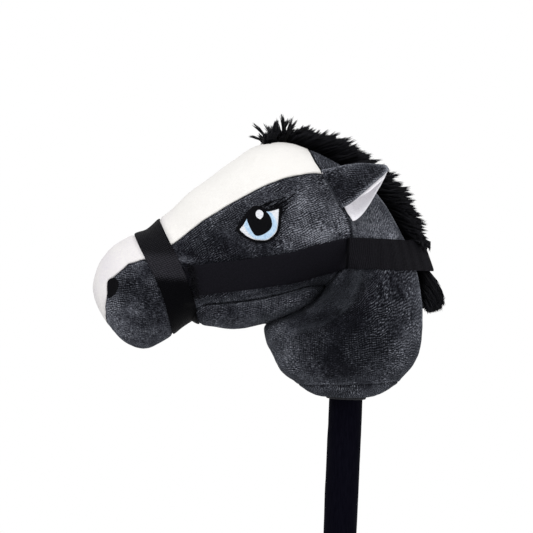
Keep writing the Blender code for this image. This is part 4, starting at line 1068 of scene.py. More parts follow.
    def strip(self, name: str, strap: Strap, finish: Finish, lift: Array | float = 0.0, rib: float = 0.0,
              rib_depth: float = 0.0, side: Side = Side.LEFT) -> Piece:
        """A woven strip with rounded edges.

        Args:
            name: the piece's name.
            strap: where it lies.
            finish: what it is made of.
            lift: how far it is raised over what it crosses.
            rib: the distance from rib to rib across the strip, or 0 for none.
            rib_depth: how deep the ribs are.
            side: which side it lies on.

        Returns:
            The piece.
        """
        grid, normals = strap.grid, strap.normals
        cloth = cloth_lengths(grid)
        shares = np.linspace(-1.0, 1.0, grid.shape[1])
        roundness = 0.5 * WEBBING_THICKNESS * np.abs(shares) ** 12
        selvedge = 0.12 * MM * np.exp(-((np.abs(shares) - 0.92) / 0.05) ** 2)
        ribs = rib_depth * (np.abs(np.cos(np.pi * cloth[..., 1] / rib)) - 1.0) if rib else 0.0
        top = STRAP_GAP + WEBBING_THICKNESS - roundness + selvedge + ribs + lift
        low = STRAP_GAP + roundness + lift
        outer, inner = (side.mirror(grid + normals * (level * np.ones(grid.shape[:2]))[..., None])
                        for level in (top, low))
        return sheet_piece(name, outer, inner, cloth, finish, strap.ring)

    def nose_shading(self, points: Array) -> Array:
        """Darker at the top and painted shade underneath, with the weave clearest between."""
        height = points[:, 2] - NECK_BASE
        below, above = ramp((self.weave_from - height) / 0.011), ramp((height - self.weave_to) / 0.009)
        return 0.12 - 0.95 * below - 0.36 * above

    def joined(self, points: Array) -> Array:
        """Darker where the neck band is stitched to the cheek straps."""
        return -0.9 * np.exp(-((points[:, 0] - self.cheek_path[-1][0]) / self.join_width) ** 2)

    def fray(self) -> None:
        """Cut threads that stick out where the cheek straps go under the noseband."""
        dice = np.random.default_rng(37)
        grid, normals = self.straps["cheek"].grid, self.straps["cheek"].normals
        middle, count = self.columns // 2, self.fray_threads
        row = np.argmin(np.abs(grid[:, middle, 0] - self.fray_place))
        column = dice.integers(0, self.columns, count)
        start = grid[row + dice.integers(0, self.fray_rows, count), column]
        start = start + normals[row, column] * self.fray_out
        back = unit(grid[row + 20, middle] - grid[row, middle])
        heading = unit(back * dice.uniform(0.2, 1.0, (count, 1)) + dice.normal(0.0, 0.35, (count, 3))
                       + normals[row, column] * dice.uniform(0.1, 0.7, (count, 1)))
        length = dice.uniform(2.0, 5.5, count)[:, None] * MM
        bend = dice.normal(0.0, 0.35, (count, 3)) * length
        points = np.stack([start + heading * length * t + bend * t * t for t in (0.0, 0.33, 0.67, 1.0)], 1)
        numbers = dice.uniform(0.0, 1.0, count)
        for side in Side:
            name = side.label("strap_fray")
            settle(strand_piece(name, side.mirror(points), numbers, self.fray_width, MANE_HAIR), MANE_HAIR)

    def build(self) -> None:
        """Makes every strap."""
        self.fray()
        nose = self.straps["nose"]
        lift = self.lift_over_cheek(nose.grid)
        noseband = mark_brushed_and_shaded(self.strip("noseband_web", nose, TWILL_WEBBING, lift), self.nose_shading)
        settle(noseband, TWILL_WEBBING, "noseband")
        for side in Side:
            name = side.label("cheek_strap")
            cheek = self.strip(name + "_web", self.straps["cheek"], SMOOTH_WEBBING, side=side)
            settle(mark_brushed_and_shaded(cheek, self.joined), SMOOTH_WEBBING, name)
        band = self.strip("neck_band_web", self.straps["neck"], RIBBED_WEBBING, 0.0, self.band_rib,
                          self.band_rib_depth)
        settle(mark_brushed_and_shaded(band, self.joined), RIBBED_WEBBING, "neck_band")


# The eyes' outlines, seen from the side
EYE_LID = ((-0.0980, 0.1364), (-0.0943, 0.1327), (-0.0900, 0.1302), (-0.0842, 0.1278), (-0.0779, 0.1274),
           (-0.0723, 0.1279), (-0.0668, 0.1315), (-0.0631, 0.1363), (-0.0620, 0.1412), (-0.0618, 0.1476),
           (-0.0617, 0.1526), (-0.0617, 0.1579), (-0.0653, 0.1577), (-0.0699, 0.1562), (-0.0740, 0.1555),
           (-0.0776, 0.1564), (-0.0813, 0.1575), (-0.0850, 0.1571), (-0.0889, 0.1536), (-0.0928, 0.1483),
           (-0.0962, 0.1429), (-0.0984, 0.1387))
EYE_WHITE = ((-0.0955, 0.1374), (-0.0926, 0.1345), (-0.0892, 0.1320), (-0.0836, 0.1297), (-0.0781, 0.1293),
             (-0.0731, 0.1296), (-0.0687, 0.1326), (-0.0654, 0.1367), (-0.0644, 0.1413), (-0.0641, 0.1473),
             (-0.0640, 0.1523), (-0.0641, 0.1556), (-0.0657, 0.1552), (-0.0697, 0.1539), (-0.0741, 0.1531),
             (-0.0787, 0.1542), (-0.0837, 0.1547), (-0.0875, 0.1508), (-0.0903, 0.1462), (-0.0931, 0.1410))
EYE_RING = ((-0.0921, 0.1413), (-0.0897, 0.1367), (-0.0868, 0.1336), (-0.0834, 0.1307), (-0.0781, 0.1299),
            (-0.0731, 0.1304), (-0.0693, 0.1331), (-0.0664, 0.1367), (-0.0651, 0.1402), (-0.0650, 0.1432),
            (-0.0665, 0.1472), (-0.0688, 0.1506), (-0.0708, 0.1525), (-0.0741, 0.1533), (-0.0787, 0.1540),
            (-0.0837, 0.1544), (-0.0872, 0.1508), (-0.0901, 0.1462))
EYE_PUPIL = ((-0.0898, 0.1462), (-0.0884, 0.1422), (-0.0864, 0.1383), (-0.0844, 0.1352), (-0.0823, 0.1331),
             (-0.0793, 0.1330), (-0.0758, 0.1343), (-0.0729, 0.1362), (-0.0705, 0.1385), (-0.0692, 0.1411),
             (-0.0691, 0.1436), (-0.0699, 0.1470), (-0.0715, 0.1500), (-0.0736, 0.1524), (-0.0752, 0.1537),
             (-0.0787, 0.1547), (-0.0837, 0.1552), (-0.0875, 0.1513))
EYE_GLINT = ((-0.0828, 0.1515), (-0.0819, 0.1533), (-0.0799, 0.1541), (-0.0779, 0.1534), (-0.0766, 0.1517),
             (-0.0767, 0.1492), (-0.0779, 0.1474), (-0.0791, 0.1466), (-0.0811, 0.1475), (-0.0825, 0.1492))
NOSTRIL = ((-0.2045, 0.0890), (-0.2029, 0.0916), (-0.1993, 0.0930), (-0.1965, 0.0913), (-0.1950, 0.0884),
           (-0.1954, 0.0847), (-0.1971, 0.0810), (-0.2003, 0.0775), (-0.2027, 0.0759), (-0.2039, 0.0783),
           (-0.2045, 0.0836))
# The lashes' middle lines, seen from the side, and their widths
LASHES = (((-0.0680, 0.1572), (-0.0616, 0.1606), (-0.0558, 0.1648), (-0.0505, 0.1696)),
          ((-0.0762, 0.1566), (-0.0694, 0.1615), (-0.0632, 0.1645)),
          ((-0.0722, 0.1566), (-0.0661, 0.1602), (-0.0592, 0.1657)),
          ((-0.0633, 0.1566), (-0.0592, 0.1588), (-0.0535, 0.1634)),
          ((-0.0622, 0.1515), (-0.0594, 0.1545), (-0.0566, 0.1580)),
          ((-0.0800, 0.1566), (-0.0752, 0.1594), (-0.0704, 0.1618)))
LASH_WIDTHS = (1.6 * MM, 1.1 * MM, 1.2 * MM, 1.1 * MM, 1.2 * MM, 0.9 * MM)


@dataclass(frozen=True)
class Patch:
    """A patch of satin stitch.

    Its outline is seen from the side, its layer counts threads over the pressed plush, its turn is the
    stitches' direction in degrees, and hollow is the edge of its opening where it is a ring.
    """

    name: str
    outline: tuple[Point, ...]
    layer: float
    turn: float
    finish: Finish
    hollow: tuple[Point, ...] | None = None


PATCHES = (Patch("eye_outline", EYE_LID, 1.0, 62.0, BLACK_THREAD, EYE_WHITE),
           Patch("eye_white", EYE_WHITE, 0.0, 90.0, WHITE_THREAD),
           Patch("eye_iris", EYE_RING, 1.0, 20.0, IRIS_THREAD),
           Patch("eye_pupil", EYE_PUPIL, 2.0, 90.0, BLACK_THREAD),
           Patch("eye_glint", EYE_GLINT, 3.2, 80.0, WHITE_THREAD),
           Patch("nostril", NOSTRIL, 0.5, 70.0, BLACK_THREAD))


@dataclass
class Embroidery:
    """The eyes and nostrils in satin stitch, on the plush that the caster finds."""

    caster: Caster
    layer_step: float = 0.32 * MM
    thread_height: float = 0.5 * MM
    sink: float = 0.5 * MM
    lash_height: float = 1.5 * MM
    lash_sink: float = 0.3 * MM
    rings: int = 14
    steps: int = 180

    def on_plush(self, name: str, places: Array, cloth: Array, high: Array, low: float, finish: Finish,
                 side: Side) -> Piece:
        """A sheet over places of the side view.

        Args:
            name: the piece's name.
            places: where its points lie, seen from the side.
            cloth: its map for the thread.
            high: how far its face stands off the smooth form.
            low: how far its foot does.
            finish: its thread.
            side: which side it lies on.

        Returns:
            The piece.
        """
        spots = self.caster.from_left(places)
        left = self.caster.normals(spots)
        outer, inner = side.mirror(spots + left * high[..., None]), side.mirror(spots + left * low)
        return sheet_piece(name, outer, inner, cloth, finish)

    def patch(self, patch: Patch, side: Side) -> Piece:
        """A slightly domed patch inside its outline."""
        rim = closed_curve(patch.outline, self.steps)
        if patch.hollow is None:
            core = np.broadcast_to(rim.mean(axis=0), rim.shape)
            shares = np.sin(np.linspace(0.0, np.pi / 2, self.rings))
            crown = np.sqrt(1 - shares ** 6)
        else:
            core = closed_curve(patch.hollow, self.steps)
            start = int(np.argmin(np.linalg.norm(core - rim[0], axis=1)))
            core = np.roll(core, -start, axis=0)
            shares = np.linspace(0.0, 1.0, self.rings)
            crown = np.sqrt(np.maximum(1 - (2 * shares - 1) ** 4, 0.0))
        places = core[None] + (rim - core)[None] * shares[:, None, None]
        places = np.concatenate([places, places[:, :1]], axis=1)
        low = patch.layer * self.layer_step - self.sink
        high = low + self.thread_height * (0.7 + 0.3 * crown)
        angle = math.radians(patch.turn)
        stitch = places @ np.array(((math.cos(angle), -math.sin(angle)), (math.sin(angle), math.cos(angle))))
        name = side.label(patch.name) + "_thread"
        return self.on_plush(name, places, stitch, high[:, None], low, patch.finish, side)

    def lash(self, name: str, path: tuple[Point, ...], width: float, side: Side) -> Piece:
        """One tapered lash stroke."""
        centre = open_curve(path, 40)
        run = unit(np.gradient(centre, axis=0))
        across = np.stack([-run[:, 1], run[:, 0]], -1)
        share = np.linspace(0.0, 1.0, len(centre))
        half = width / 2 * np.sqrt(np.clip(share * 6 + 0.5, 0, 1)) * (1 - share ** 1.6 * 0.85)
        columns = np.linspace(-1.0, 1.0, 9)
        places = centre[:, None] + across[:, None] * (half[:, None] * columns)[..., None]
        high = self.lash_height * np.sqrt(1 - 0.8 * columns ** 2) * (1 - 0.4 * share[:, None] ** 3)
        return self.on_plush(name, places, places, high, -self.lash_sink, BLACK_THREAD, side)

    def build(self) -> None:
        """Makes both eyes and both nostrils."""
        for side in Side:
            for patch in PATCHES:
                settle(self.patch(patch, side), patch.finish, side.label(patch.name))
            strokes = [self.lash(f"{side.label('lash')}_{i}", path, width, side)
                       for i, (path, width) in enumerate(zip(LASHES, LASH_WIDTHS))]
            deselect_all()
            for stroke in strokes:
                stroke.select_set(True)
            bpy.context.view_layer.objects.active = strokes[0]
            bpy.ops.object.join()
            strokes[0].name = side.label("eye_lashes")
            settle(strokes[0], BLACK_THREAD)


def inside(places: Array, outline: Array) -> Array:
    """Whether places of the side view lie inside an outline."""
    x, z = places[:, 0][:, None], places[:, 1][:, None]
    ahead = np.roll(outline, -1, axis=0)
    crosses = (outline[:, 1] > z) != (ahead[:, 1] > z)
    run, drop = (ahead - outline).T
    meet = run * (z - outline[:, 1]) / np.where(drop == 0, 1e-12, drop) + outline[:, 0]
    return (np.count_nonzero(crosses & (x < meet), axis=1) % 2).astype(bool)


class Nearest:
    """Distances to the nearest of many points."""

    def __init__(self, points: Array) -> None:
        """Sorts the points."""
        self.tree = KDTree(len(points))
        for i, point in enumerate(points):
            self.tree.insert(point, i)
        self.tree.balance()

    def distance(self, points: Array) -> Array:
        """The distance from each point to the nearest one kept."""
        found = [self.tree.find(point)[2] for point in points.reshape(-1, 3)]
        return np.array(found).reshape(points.shape[:-1])


@dataclass
class Relief:
    """How seams, straps, stitches, stuffing and pile move the plush off its smooth form."""

    halter: Halter
    caster: Caster
    seam_radius: float = 1.8 * MM
    seam_thin: float = 3 * MM
    pucker: float = 0.45 * MM
    pucker_reach: float = 5 * MM
    pucker_size: float = 5.5 * MM
    lump: float = 0.9 * MM
    lump_size: float = 24 * MM
    tuft: float = 0.14 * MM
    tuft_sizes: tuple[float, float] = (2.6 * MM, 1.5 * MM)
    tuft_stretch: Triple = (1.0, 1.0, 0.7)
    bulge: float = 1.0 * MM
    bulge_reach: float = 12 * MM
    under_strap: float = 0.3 * MM
    strap_margin: float = 0.6 * MM
    stitch_press: float = 0.9 * MM
    stitch_edge: float = 1.3 * MM
    fold: float = 0.8 * MM
    seam_shade_width: float = 1.1 * MM
    seam_highlight_at: float = 2.9 * MM
    seam_highlight_width: float = 1.3 * MM

    def __post_init__(self) -> None:
        """Collects the seams, the straps and the embroidery."""
        self.seams = Nearest(self.seam_points())
        self.straps = Nearest(self.halter.footprint())
        self.patches = [closed_curve(EYE_LID, 120), closed_curve(NOSTRIL, 60)]

    def seam_points(self) -> Array:
        """Points along every seam of the head, neck and jaw."""
        head = np.linspace(SEAM_START, FACE_SEAM, 700)
        neck = np.linspace(FACE_SEAM, NECK_END, 400)
        round_it = np.linspace(0.0, 360.0, 800)
        lines = ((head, FORM.blaze(head)), (head, -FORM.blaze(head)), (head, 180.0), (neck, 180.0),
                 (neck, 0.0), (FACE_SEAM, round_it), (NECK_END, round_it))
        return np.concatenate([FORM.surface(u, v) for u, v in lines] + [JawPad().seam(self.caster)])

    def pressed_by_stitches(self, points: Array) -> Array:
        """How much stitches press the plush down, from 0 to 1."""
        flat = points.reshape(-1, 3)
        places = side_view(flat)
        pressed = np.zeros(len(flat))
        for outline in self.patches:
            low, high = outline.min(axis=0) - 4 * MM, outline.max(axis=0) + 4 * MM
            near = np.all((places > low) & (places < high), axis=1) & (np.abs(flat[:, 1]) > 5 * MM)
            spots = places[near]
            apart = np.sqrt(((spots[:, None] - outline[None]) ** 2).sum(-1)).min(axis=1)
            signed = np.where(inside(spots, outline), -apart, apart)
            pressed[near] = np.maximum(pressed[near], ramp(1 - signed / self.stitch_edge))
        return pressed.reshape(points.shape[:-1])

    def brushed(self, points: Array) -> Array:
        """How much lighter or darker the pile is, with a painted shade line in each seam and a painted
        highlight beside it.
        """
        seam = self.seams.distance(points)
        beside = np.exp(-((seam - self.seam_highlight_at) / self.seam_highlight_width) ** 2)
        return brushed_and_shaded_areas(points) + 0.16 * beside - 0.6 * np.exp(-(seam / self.seam_shade_width) ** 2)

    def height(self, points: Array, seam: Array) -> Array:
        """How far the pile's tips stand off the smooth form.

        Args:
            points: places on the smooth form.
            seam: their distances to the nearest seam.

        Returns:
            The heights, below zero where the plush is drawn in.
        """
        radius = self.seam_radius
        inward = np.clip(radius - seam, 0.0, radius)
        dip = radius - np.sqrt(radius ** 2 - inward ** 2)
        drawn = self.pucker * np.exp(-seam / self.pucker_reach) * unevenness(points, self.pucker_size, 3)
        beside = self.straps.distance(points) - self.strap_margin
        strapped = ramp(1 - beside / (2 * self.strap_margin))
        pressed = self.pressed_by_stitches(points)
        loose = (1 - strapped) * (1 - pressed)
        swell = self.bulge * ramp(beside / (2.4 * MM)) * ramp(1 - (beside - 1.5 * MM) / self.bulge_reach)
        lumps = self.lump * unevenness(points, self.lump_size, 5)
        lumps = lumps * ramp(seam / (9 * MM)) * ramp(beside / (8 * MM)) - self.fold * creased(points)
        streaked = points * np.array(self.tuft_stretch)
        broad, fine = (unevenness(streaked, size, seed) for size, seed in zip(self.tuft_sizes, (7, 9)))
        tufts = self.tuft * (broad + 0.5 * fine)
        moved = self.under_strap * strapped + loose * (swell + lumps + tufts + drawn)
        return moved - dip - self.stitch_press * pressed

    def faces(self, smooth: Array, normals: Array) -> tuple[Array, Array]:
        """The outer and the inner face of plush over a grid of the smooth form, thinner at its seams."""
        seam = self.seams.distance(smooth)
        height = self.height(smooth, seam)
        thick = PLUSH_THICKNESS * (0.3 + 0.7 * ramp(seam / self.seam_thin))
        return smooth + normals * height[..., None], smooth + normals * (height - thick)[..., None]


# Folds in the neck, seen from the side
CREASES = (((0.0209, 0.0975), (0.0226, 0.0875)), ((0.0344, 0.0870), (0.0434, 0.0856), (0.0400, 0.0905)),
           ((0.0362, 0.0965), (0.0394, 0.0880)), ((0.0300, 0.1040), (0.0318, 0.0940)))
# Areas painted lighter or darker, partly for pile brushed either way and partly as painted shade and painted
# highlight: x and height above the neck's base, reach across and up, and how much
BRUSHED_AND_SHADED = ((-0.030, 0.150, 0.036, 0.032, 0.33), (-0.105, 0.170, 0.060, 0.018, 0.18),
           (-0.200, 0.055, 0.028, 0.024, 0.20), (-0.180, 0.068, 0.008, 0.008, 0.15),
           (-0.162, 0.052, 0.010, 0.005, 0.18), (-0.164, 0.072, 0.008, 0.018, -0.13),
           (-0.186, 0.086, 0.006, 0.006, -0.13), (-0.180, 0.105, 0.007, 0.005, 0.12),
           (-0.196, 0.072, 0.005, 0.009, 0.12), (-0.139, 0.1105, 0.009, 0.0035, 0.38),
           (-0.115, 0.114, 0.050, 0.018, -0.15), (0.020, 0.150, 0.022, 0.030, 0.26),
           (0.032, 0.146, 0.009, 0.022, 0.16), (-0.008, 0.062, 0.036, 0.050, -0.27),
           (-0.058, 0.040, 0.018, 0.028, 0.15), (0.052, 0.060, 0.016, 0.055, 0.14),
           (-0.075, 0.076, 0.060, 0.016, 0.03))


def brushed_and_shaded_areas(points: Array) -> Array:
    """How much lighter or darker the pile is at points: brushed areas mixed with painted shade and painted
    highlight.
    """
    total = np.zeros(points.shape[:-1])
    for x, height, across, up, amount in BRUSHED_AND_SHADED:
        apart = np.hypot((points[..., 0] - x) / across, (points[..., 2] - NECK_BASE - height) / up)
        total += amount * ramp(1.35 - apart)
    crest = Nearest(FORM.surface(np.linspace(MANE_HEIGHTS[0, 0], MANE_HEIGHTS[-1, 0], 300), 0.0))
    beside_mane = np.exp(-((crest.distance(points) - 17 * MM) / (4.5 * MM)) ** 2)
    total += beside_mane * (0.22 + 0.2 * unevenness(points, 6 * MM, 57))
    # Painted shade along the neck's creases, over their folds in the plush
    return total + 0.05 * unevenness(points, 14 * MM, 51) - 0.3 * creased(points)


# A line of the side view that the knitted rows of the face follow, as x and height above the neck's base
ROW_LINE = np.array(((-0.230, 0.066), (-0.150, 0.062), (-0.120, 0.068), (-0.030, 0.116), (0.0, 0.130)))


def along_rows(grid: Array, cloth: Array) -> Array:
    """A face panel's cloth map, moved so that its knitted rows follow the line."""
    below = NECK_BASE + np.interp(grid[..., 0], ROW_LINE[:, 0], ROW_LINE[:, 1]) - grid[..., 2]
    rows = np.arange(len(grid))
    column = np.clip(np.argmax(below > 0, axis=1), 1, grid.shape[1] - 1)
    before, after = below[rows, column - 1], below[rows, column]
    share = np.clip(-before / np.maximum(after - before, 1e-9), 0.0, 1.0)
    shift = cloth[rows, column - 1, 0] * (1 - share) + cloth[rows, column, 0] * share
    shift = smoothed(shift[:, None], 16)
    return cloth - np.stack([shift, 0 * shift], -1)


def creased(points: Array) -> Array:
    """How near points are to the folds that the neck band pulls into the plush, from 0 to 1."""
    places = side_view(points)
    nearest = np.full(points.shape[:-1], 1.0)
    for crease in CREASES:
        for start, end in zip(crease[:-1], crease[1:]):
            start, end = np.array(start), np.array(end)
            share = np.clip((places - start) @ (end - start) / np.sum((end - start) ** 2), 0.0, 1.0)
            apart = np.linalg.norm(places - start - share[..., None] * (end - start), axis=-1)
            nearest = np.minimum(nearest, apart)
    return np.exp(-(nearest / (1.1 * MM)) ** 2)


def mark_brushed_and_shaded(piece: Piece, amount: Callable[[Array], Array] = brushed_and_shaded_areas) -> Piece:
    """Keeps on a piece how much lighter or darker its points are, brushed pile and painted shade and
    highlight alike, for its finish.
    """
    mesh = piece.data
    points = np.zeros(len(mesh.vertices) * 3)
    mesh.vertices.foreach_get("co", points)
    mesh.attributes.new("brushed", "FLOAT", "POINT").data.foreach_set("value", amount(points.reshape(-1, 3)))
    return piece


@dataclass
class PlushPanels:
    """The sewn plush panels of head and neck, and the stuffing inside them."""

    relief: Relief
    pitch: float = 1.25 * MM
    gap: float = 0.12 * MM
    fill_gap: float = 0.9 * MM
    fill: float = 0.85

    def gap_angle(self, u: Array, v: Array) -> Array:
        """Half the gap at a seam that runs along the body, as an angle."""
        span = np.linalg.norm(FORM.surface(u, v + 1.0) - FORM.surface(u, v - 1.0), axis=-1)
        return self.gap / np.maximum(span, 1e-6)

    def panel(self, name: str, u: Array, v: Array, ends: tuple[float, float], finish: Finish,
              side: Side = Side.LEFT) -> Piece:
        """A panel over rows of u and their angles.

        Args:
            name: the piece's name.
            u: the rows.
            v: the angles in each row.
            ends: how far the first and last row move along the body, for the seams there.
            finish: its plush.
            side: which side it lies on.

        Returns:
            The piece.
        """
        rows = np.broadcast_to(u[:, None], v.shape)
        shift = np.zeros(v.shape)
        shift[0], shift[-1] = ends
        smooth = side.mirror(FORM.surface(rows, v) + FORM.along(rows) * shift[..., None])
        outer, inner = self.relief.faces(smooth, side.mirror(FORM.outward(rows, v)))
        cloth, shade = cloth_lengths(smooth), self.blaze_nose_shade
        if finish is not WHITE_PLUSH:
            cloth = along_rows(smooth, cloth) if u[0] < FACE_SEAM - 1.0 else cloth[..., ::-1]
            shade = self.relief.brushed
        return mark_brushed_and_shaded(sheet_piece(name, outer, inner, cloth, finish), shade)

    @staticmethod
    def blaze_nose_shade(points: Array) -> Array:
        """A darker, cooler white towards the nose: painted shade with a lilac cast."""
        return 0.05 * unevenness(points, 14 * MM, 51) - 0.24 * ramp((-0.140 - points[..., 0]) / 0.035)

    def build(self) -> None:
        """Makes the blaze, both sides of the face and both sides of the neck."""
        head = np.union1d(FORM.rows(0.0, FACE_SEAM, self.pitch, (False, True)), TURN_ROWS)
        edge = FORM.blaze(head)
        edge = np.where(edge < 180.0, edge - self.gap_angle(head, edge), edge)
        blaze = self.panel("blaze", head, FORM.columns(head, -edge, edge, self.pitch), (0.0, -self.gap / 2),
                           WHITE_PLUSH)
        settle(blaze, WHITE_PLUSH, "blaze_panel", fill=self.fill)
        face = np.union1d(FORM.rows(SEAM_START, FACE_SEAM, self.pitch, (True, True)), TURN_ROWS)
        low = FORM.blaze(face)
        low = low + self.gap_angle(face, low)
        high = 180.0 - self.gap_angle(face, np.full_like(face, 180.0))
        face_angles = FORM.columns(face, np.minimum(low, high - 0.05), high, self.pitch)
        neck = FORM.rows(FACE_SEAM, NECK_END, self.pitch, (True, True))
        low = self.gap_angle(neck, np.zeros_like(neck))
        high = 180.0 - self.gap_angle(neck, np.full_like(neck, 180.0))
        neck_angles = FORM.columns(neck, low, high, self.pitch)
        panels = (("face_panel", face, face_angles, (0.0, -self.gap / 2)),
                  ("neck_panel", neck, neck_angles, (self.gap / 2, 0.0)))
        for side, (node, u, angles, ends) in itertools.product(Side, panels):
            name = side.label(node)
            made = self.panel(name + "_plush", u, angles, ends, GREY_PLUSH, side)
            settle(made, GREY_PLUSH, name, fill=self.fill)
        self.stuffing("head_filling", 0.0, FACE_SEAM - 0.02, "head_stuffing")
        self.stuffing("neck_filling", FACE_SEAM + 0.02, NECK_END - 0.3, "neck_stuffing")

    def stuffing(self, name: str, start: float, end: float, node: str) -> None:
        """The filling inside the panels, one closed soft form."""
        u = FORM.rows(start, end, 4 * MM, (False, False))
        v = np.linspace(0.0, 360.0, 97)
        smooth, normals = FORM.surface(u[:, None], v), FORM.outward(u[:, None], v + 0.0 * u[:, None])
        depth = self.fill_gap + PLUSH_THICKNESS + self.relief.seam_radius + 0.6 * MM
        outer = smooth - normals * depth
        ends = [outer[:1].mean(axis=1, keepdims=True), outer[-1:].mean(axis=1, keepdims=True)]
        outer = np.concatenate([np.broadcast_to(ends[0], outer[:1].shape), outer,
                                np.broadcast_to(ends[1], outer[:1].shape)])
        loops = outer[:, :-1]
        settle(mesh_piece(name, loops, ring_faces(*loops.shape[:2]), {}, FIBRE), FIBRE, node, fill=self.fill)


@dataclass
class BaseDisc:
    """The round panel under the neck, with a bound hole for the stick."""

    relief: Relief
    hole: float = SLEEVE_RADIUS + 0.3 * MM
    binding: float = 1.3 * MM
    binding_rise: float = -0.2 * MM
    seam_gap: float = 0.2 * MM
    rings: int = 30
    edge_reach: float = 0.045
    fill: float = 0.7

    def grid(self, share: Array, v: Array) -> tuple[Array, Array]:
        """Points and downward normals of the disc's face, share 0 at the hole and 1 at the seam."""
        rim = FORM.surface(NECK_END, v) + FORM.along(np.full_like(v, NECK_END)) * self.seam_gap
        flat = rim * LEVEL
        start = unit(flat) * self.hole
        place = start + (flat - start) * share[..., None]
        rise = (rim[..., 2] - NECK_BASE) * share ** 2
        tilt = 2 * (rim[..., 2] - NECK_BASE) * share / (np.linalg.norm(flat, axis=-1) - self.hole)
        square = unit(unit(flat) * tilt[..., None] - UP)
        blend = share[..., None] ** 3
        place = place + UP * (NECK_BASE + rise)[..., None]
        return place, unit(square * (1 - blend) + FORM.outward(NECK_END, v) * blend)

    def build(self) -> None:
        """Makes the disc and its binding."""
        edge = np.maximum(1 - EDGE_OFFSETS / self.edge_reach, 0.0)
        shares = np.union1d(np.linspace(0.0, 1.0, self.rings)[1:], edge)
        smooth, normals = self.grid(*np.meshgrid(shares, np.linspace(0.0, 360.0, 289), indexing="ij"))
        outer, inner = self.relief.faces(smooth, normals)
        disc = sheet_piece("base_disc_plush", outer, inner, smooth[..., :2], GREY_PLUSH)
        settle(disc, GREY_PLUSH, "base_disc", fill=self.fill)
        deselect_all()
        bpy.ops.mesh.primitive_torus_add(major_segments=96, minor_segments=16, minor_radius=self.binding,
                                         major_radius=self.hole + self.binding,
                                         location=(0.0, 0.0, NECK_BASE + self.binding_rise))
        ring = bpy.context.object
        ring.name = "hole_binding"
        points = np.array([vertex.co for vertex in ring.data.vertices])
        points += unit(points * LEVEL) * (0.25 * MM * unevenness(points, 2.2 * MM, 31))[:, None]
        ring.data.vertices.foreach_set("co", points.astype(np.float32).ravel())
        bpy.ops.object.transform_apply(location=True, rotation=True, scale=True)
        bpy.ops.object.shade_smooth()
        ring.data.materials.append(BACKING_CLOTH.material())
        settle(ring, BACKING_CLOTH)


@dataclass
class JawPad:
    """The stuffed pad under the jaw."""

    rows: int = 96
    columns: int = 240
    clearance: float = 0.3 * MM
    tucked: float = 1.2 * MM
    fill: float = 0.8

    def smooth_form(self) -> Array:
        """Closed loops of its form, from front to back."""
        flip = np.array((1.0, 1.0, -1.0, -1.0))
        knots = np.concatenate([[JAW_LOBES[1] * flip], JAW_LOBES, [JAW_LOBES[-2] * flip]])
        share = (1 - np.cos(np.linspace(0.0, np.pi, self.rows))) / 2
        x, z, height, width = np.moveaxis(spline(knots, share * (len(JAW_LOBES) - 1)), -1, 0)
        height, width = np.maximum(height, 0.0), np.maximum(width, 0.0)
        turn = np.linspace(0.0, 2 * np.pi, self.columns + 1)[:-1]
        return np.stack([x[:, None] + 0 * turn, -width[:, None] * np.sin(turn),
                         NECK_BASE + z[:, None] + height[:, None] * np.cos(turn)], -1)

    def seam(self, caster: Caster) -> Array:
        """Points where the pad's face comes out of the head."""
        grid = self.smooth_form()
        apart = caster.stand_off(grid)
        found = []
        for a, b, p, q in ((apart[:-1], apart[1:], grid[:-1], grid[1:]),
                           (apart, np.roll(apart, -1, 1), grid, np.roll(grid, -1, 1))):
            crossing = (a > 0) != (b > 0)
            share = a[crossing] / (a[crossing] - b[crossing])
            found.append(p[crossing] + (q[crossing] - p[crossing]) * share[:, None])
        return np.concatenate(found)

    def build(self, caster: Caster, relief: Relief) -> None:
        """Makes the pad, its hidden side pressed against the head."""
        grid = self.smooth_form()
        apart = caster.stand_off(grid)
        centre = grid.mean(axis=1, keepdims=True)
        ring = np.concatenate([grid, grid[:, :1]], axis=1)
        normals = grid_normals(ring)[:, :-1]
        normals *= np.sign(np.sum(normals * (grid - centre), axis=-1, keepdims=True) + 1e-12)
        normals[0], normals[-1] = (-1.0, 0.0, 0.0), (1.0, 0.0, 0.0)
        height = relief.height(grid, relief.seams.distance(grid))
        outer = grid + normals * (height * ramp(apart / MM + 1.0))[..., None]
        for index in zip(*np.nonzero(apart < self.clearance)):
            place, normal, _, _ = caster.tree.find_nearest(Vector(outer[index]))
            outer[index] = place - normal * self.tucked
        faces = ring_faces(*grid.shape[:2])
        cloth = np.stack([lengths(grid, 1), grid[..., 0]], -1).reshape(-1, 2)[faces]
        piece = mesh_piece("jaw_pad_plush", outer, faces, {"nap": cloth}, GREY_PLUSH)
        settle(mark_brushed_and_shaded(piece, relief.brushed), GREY_PLUSH, "jaw_panel", "jaw_stuffing", fill=self.fill)


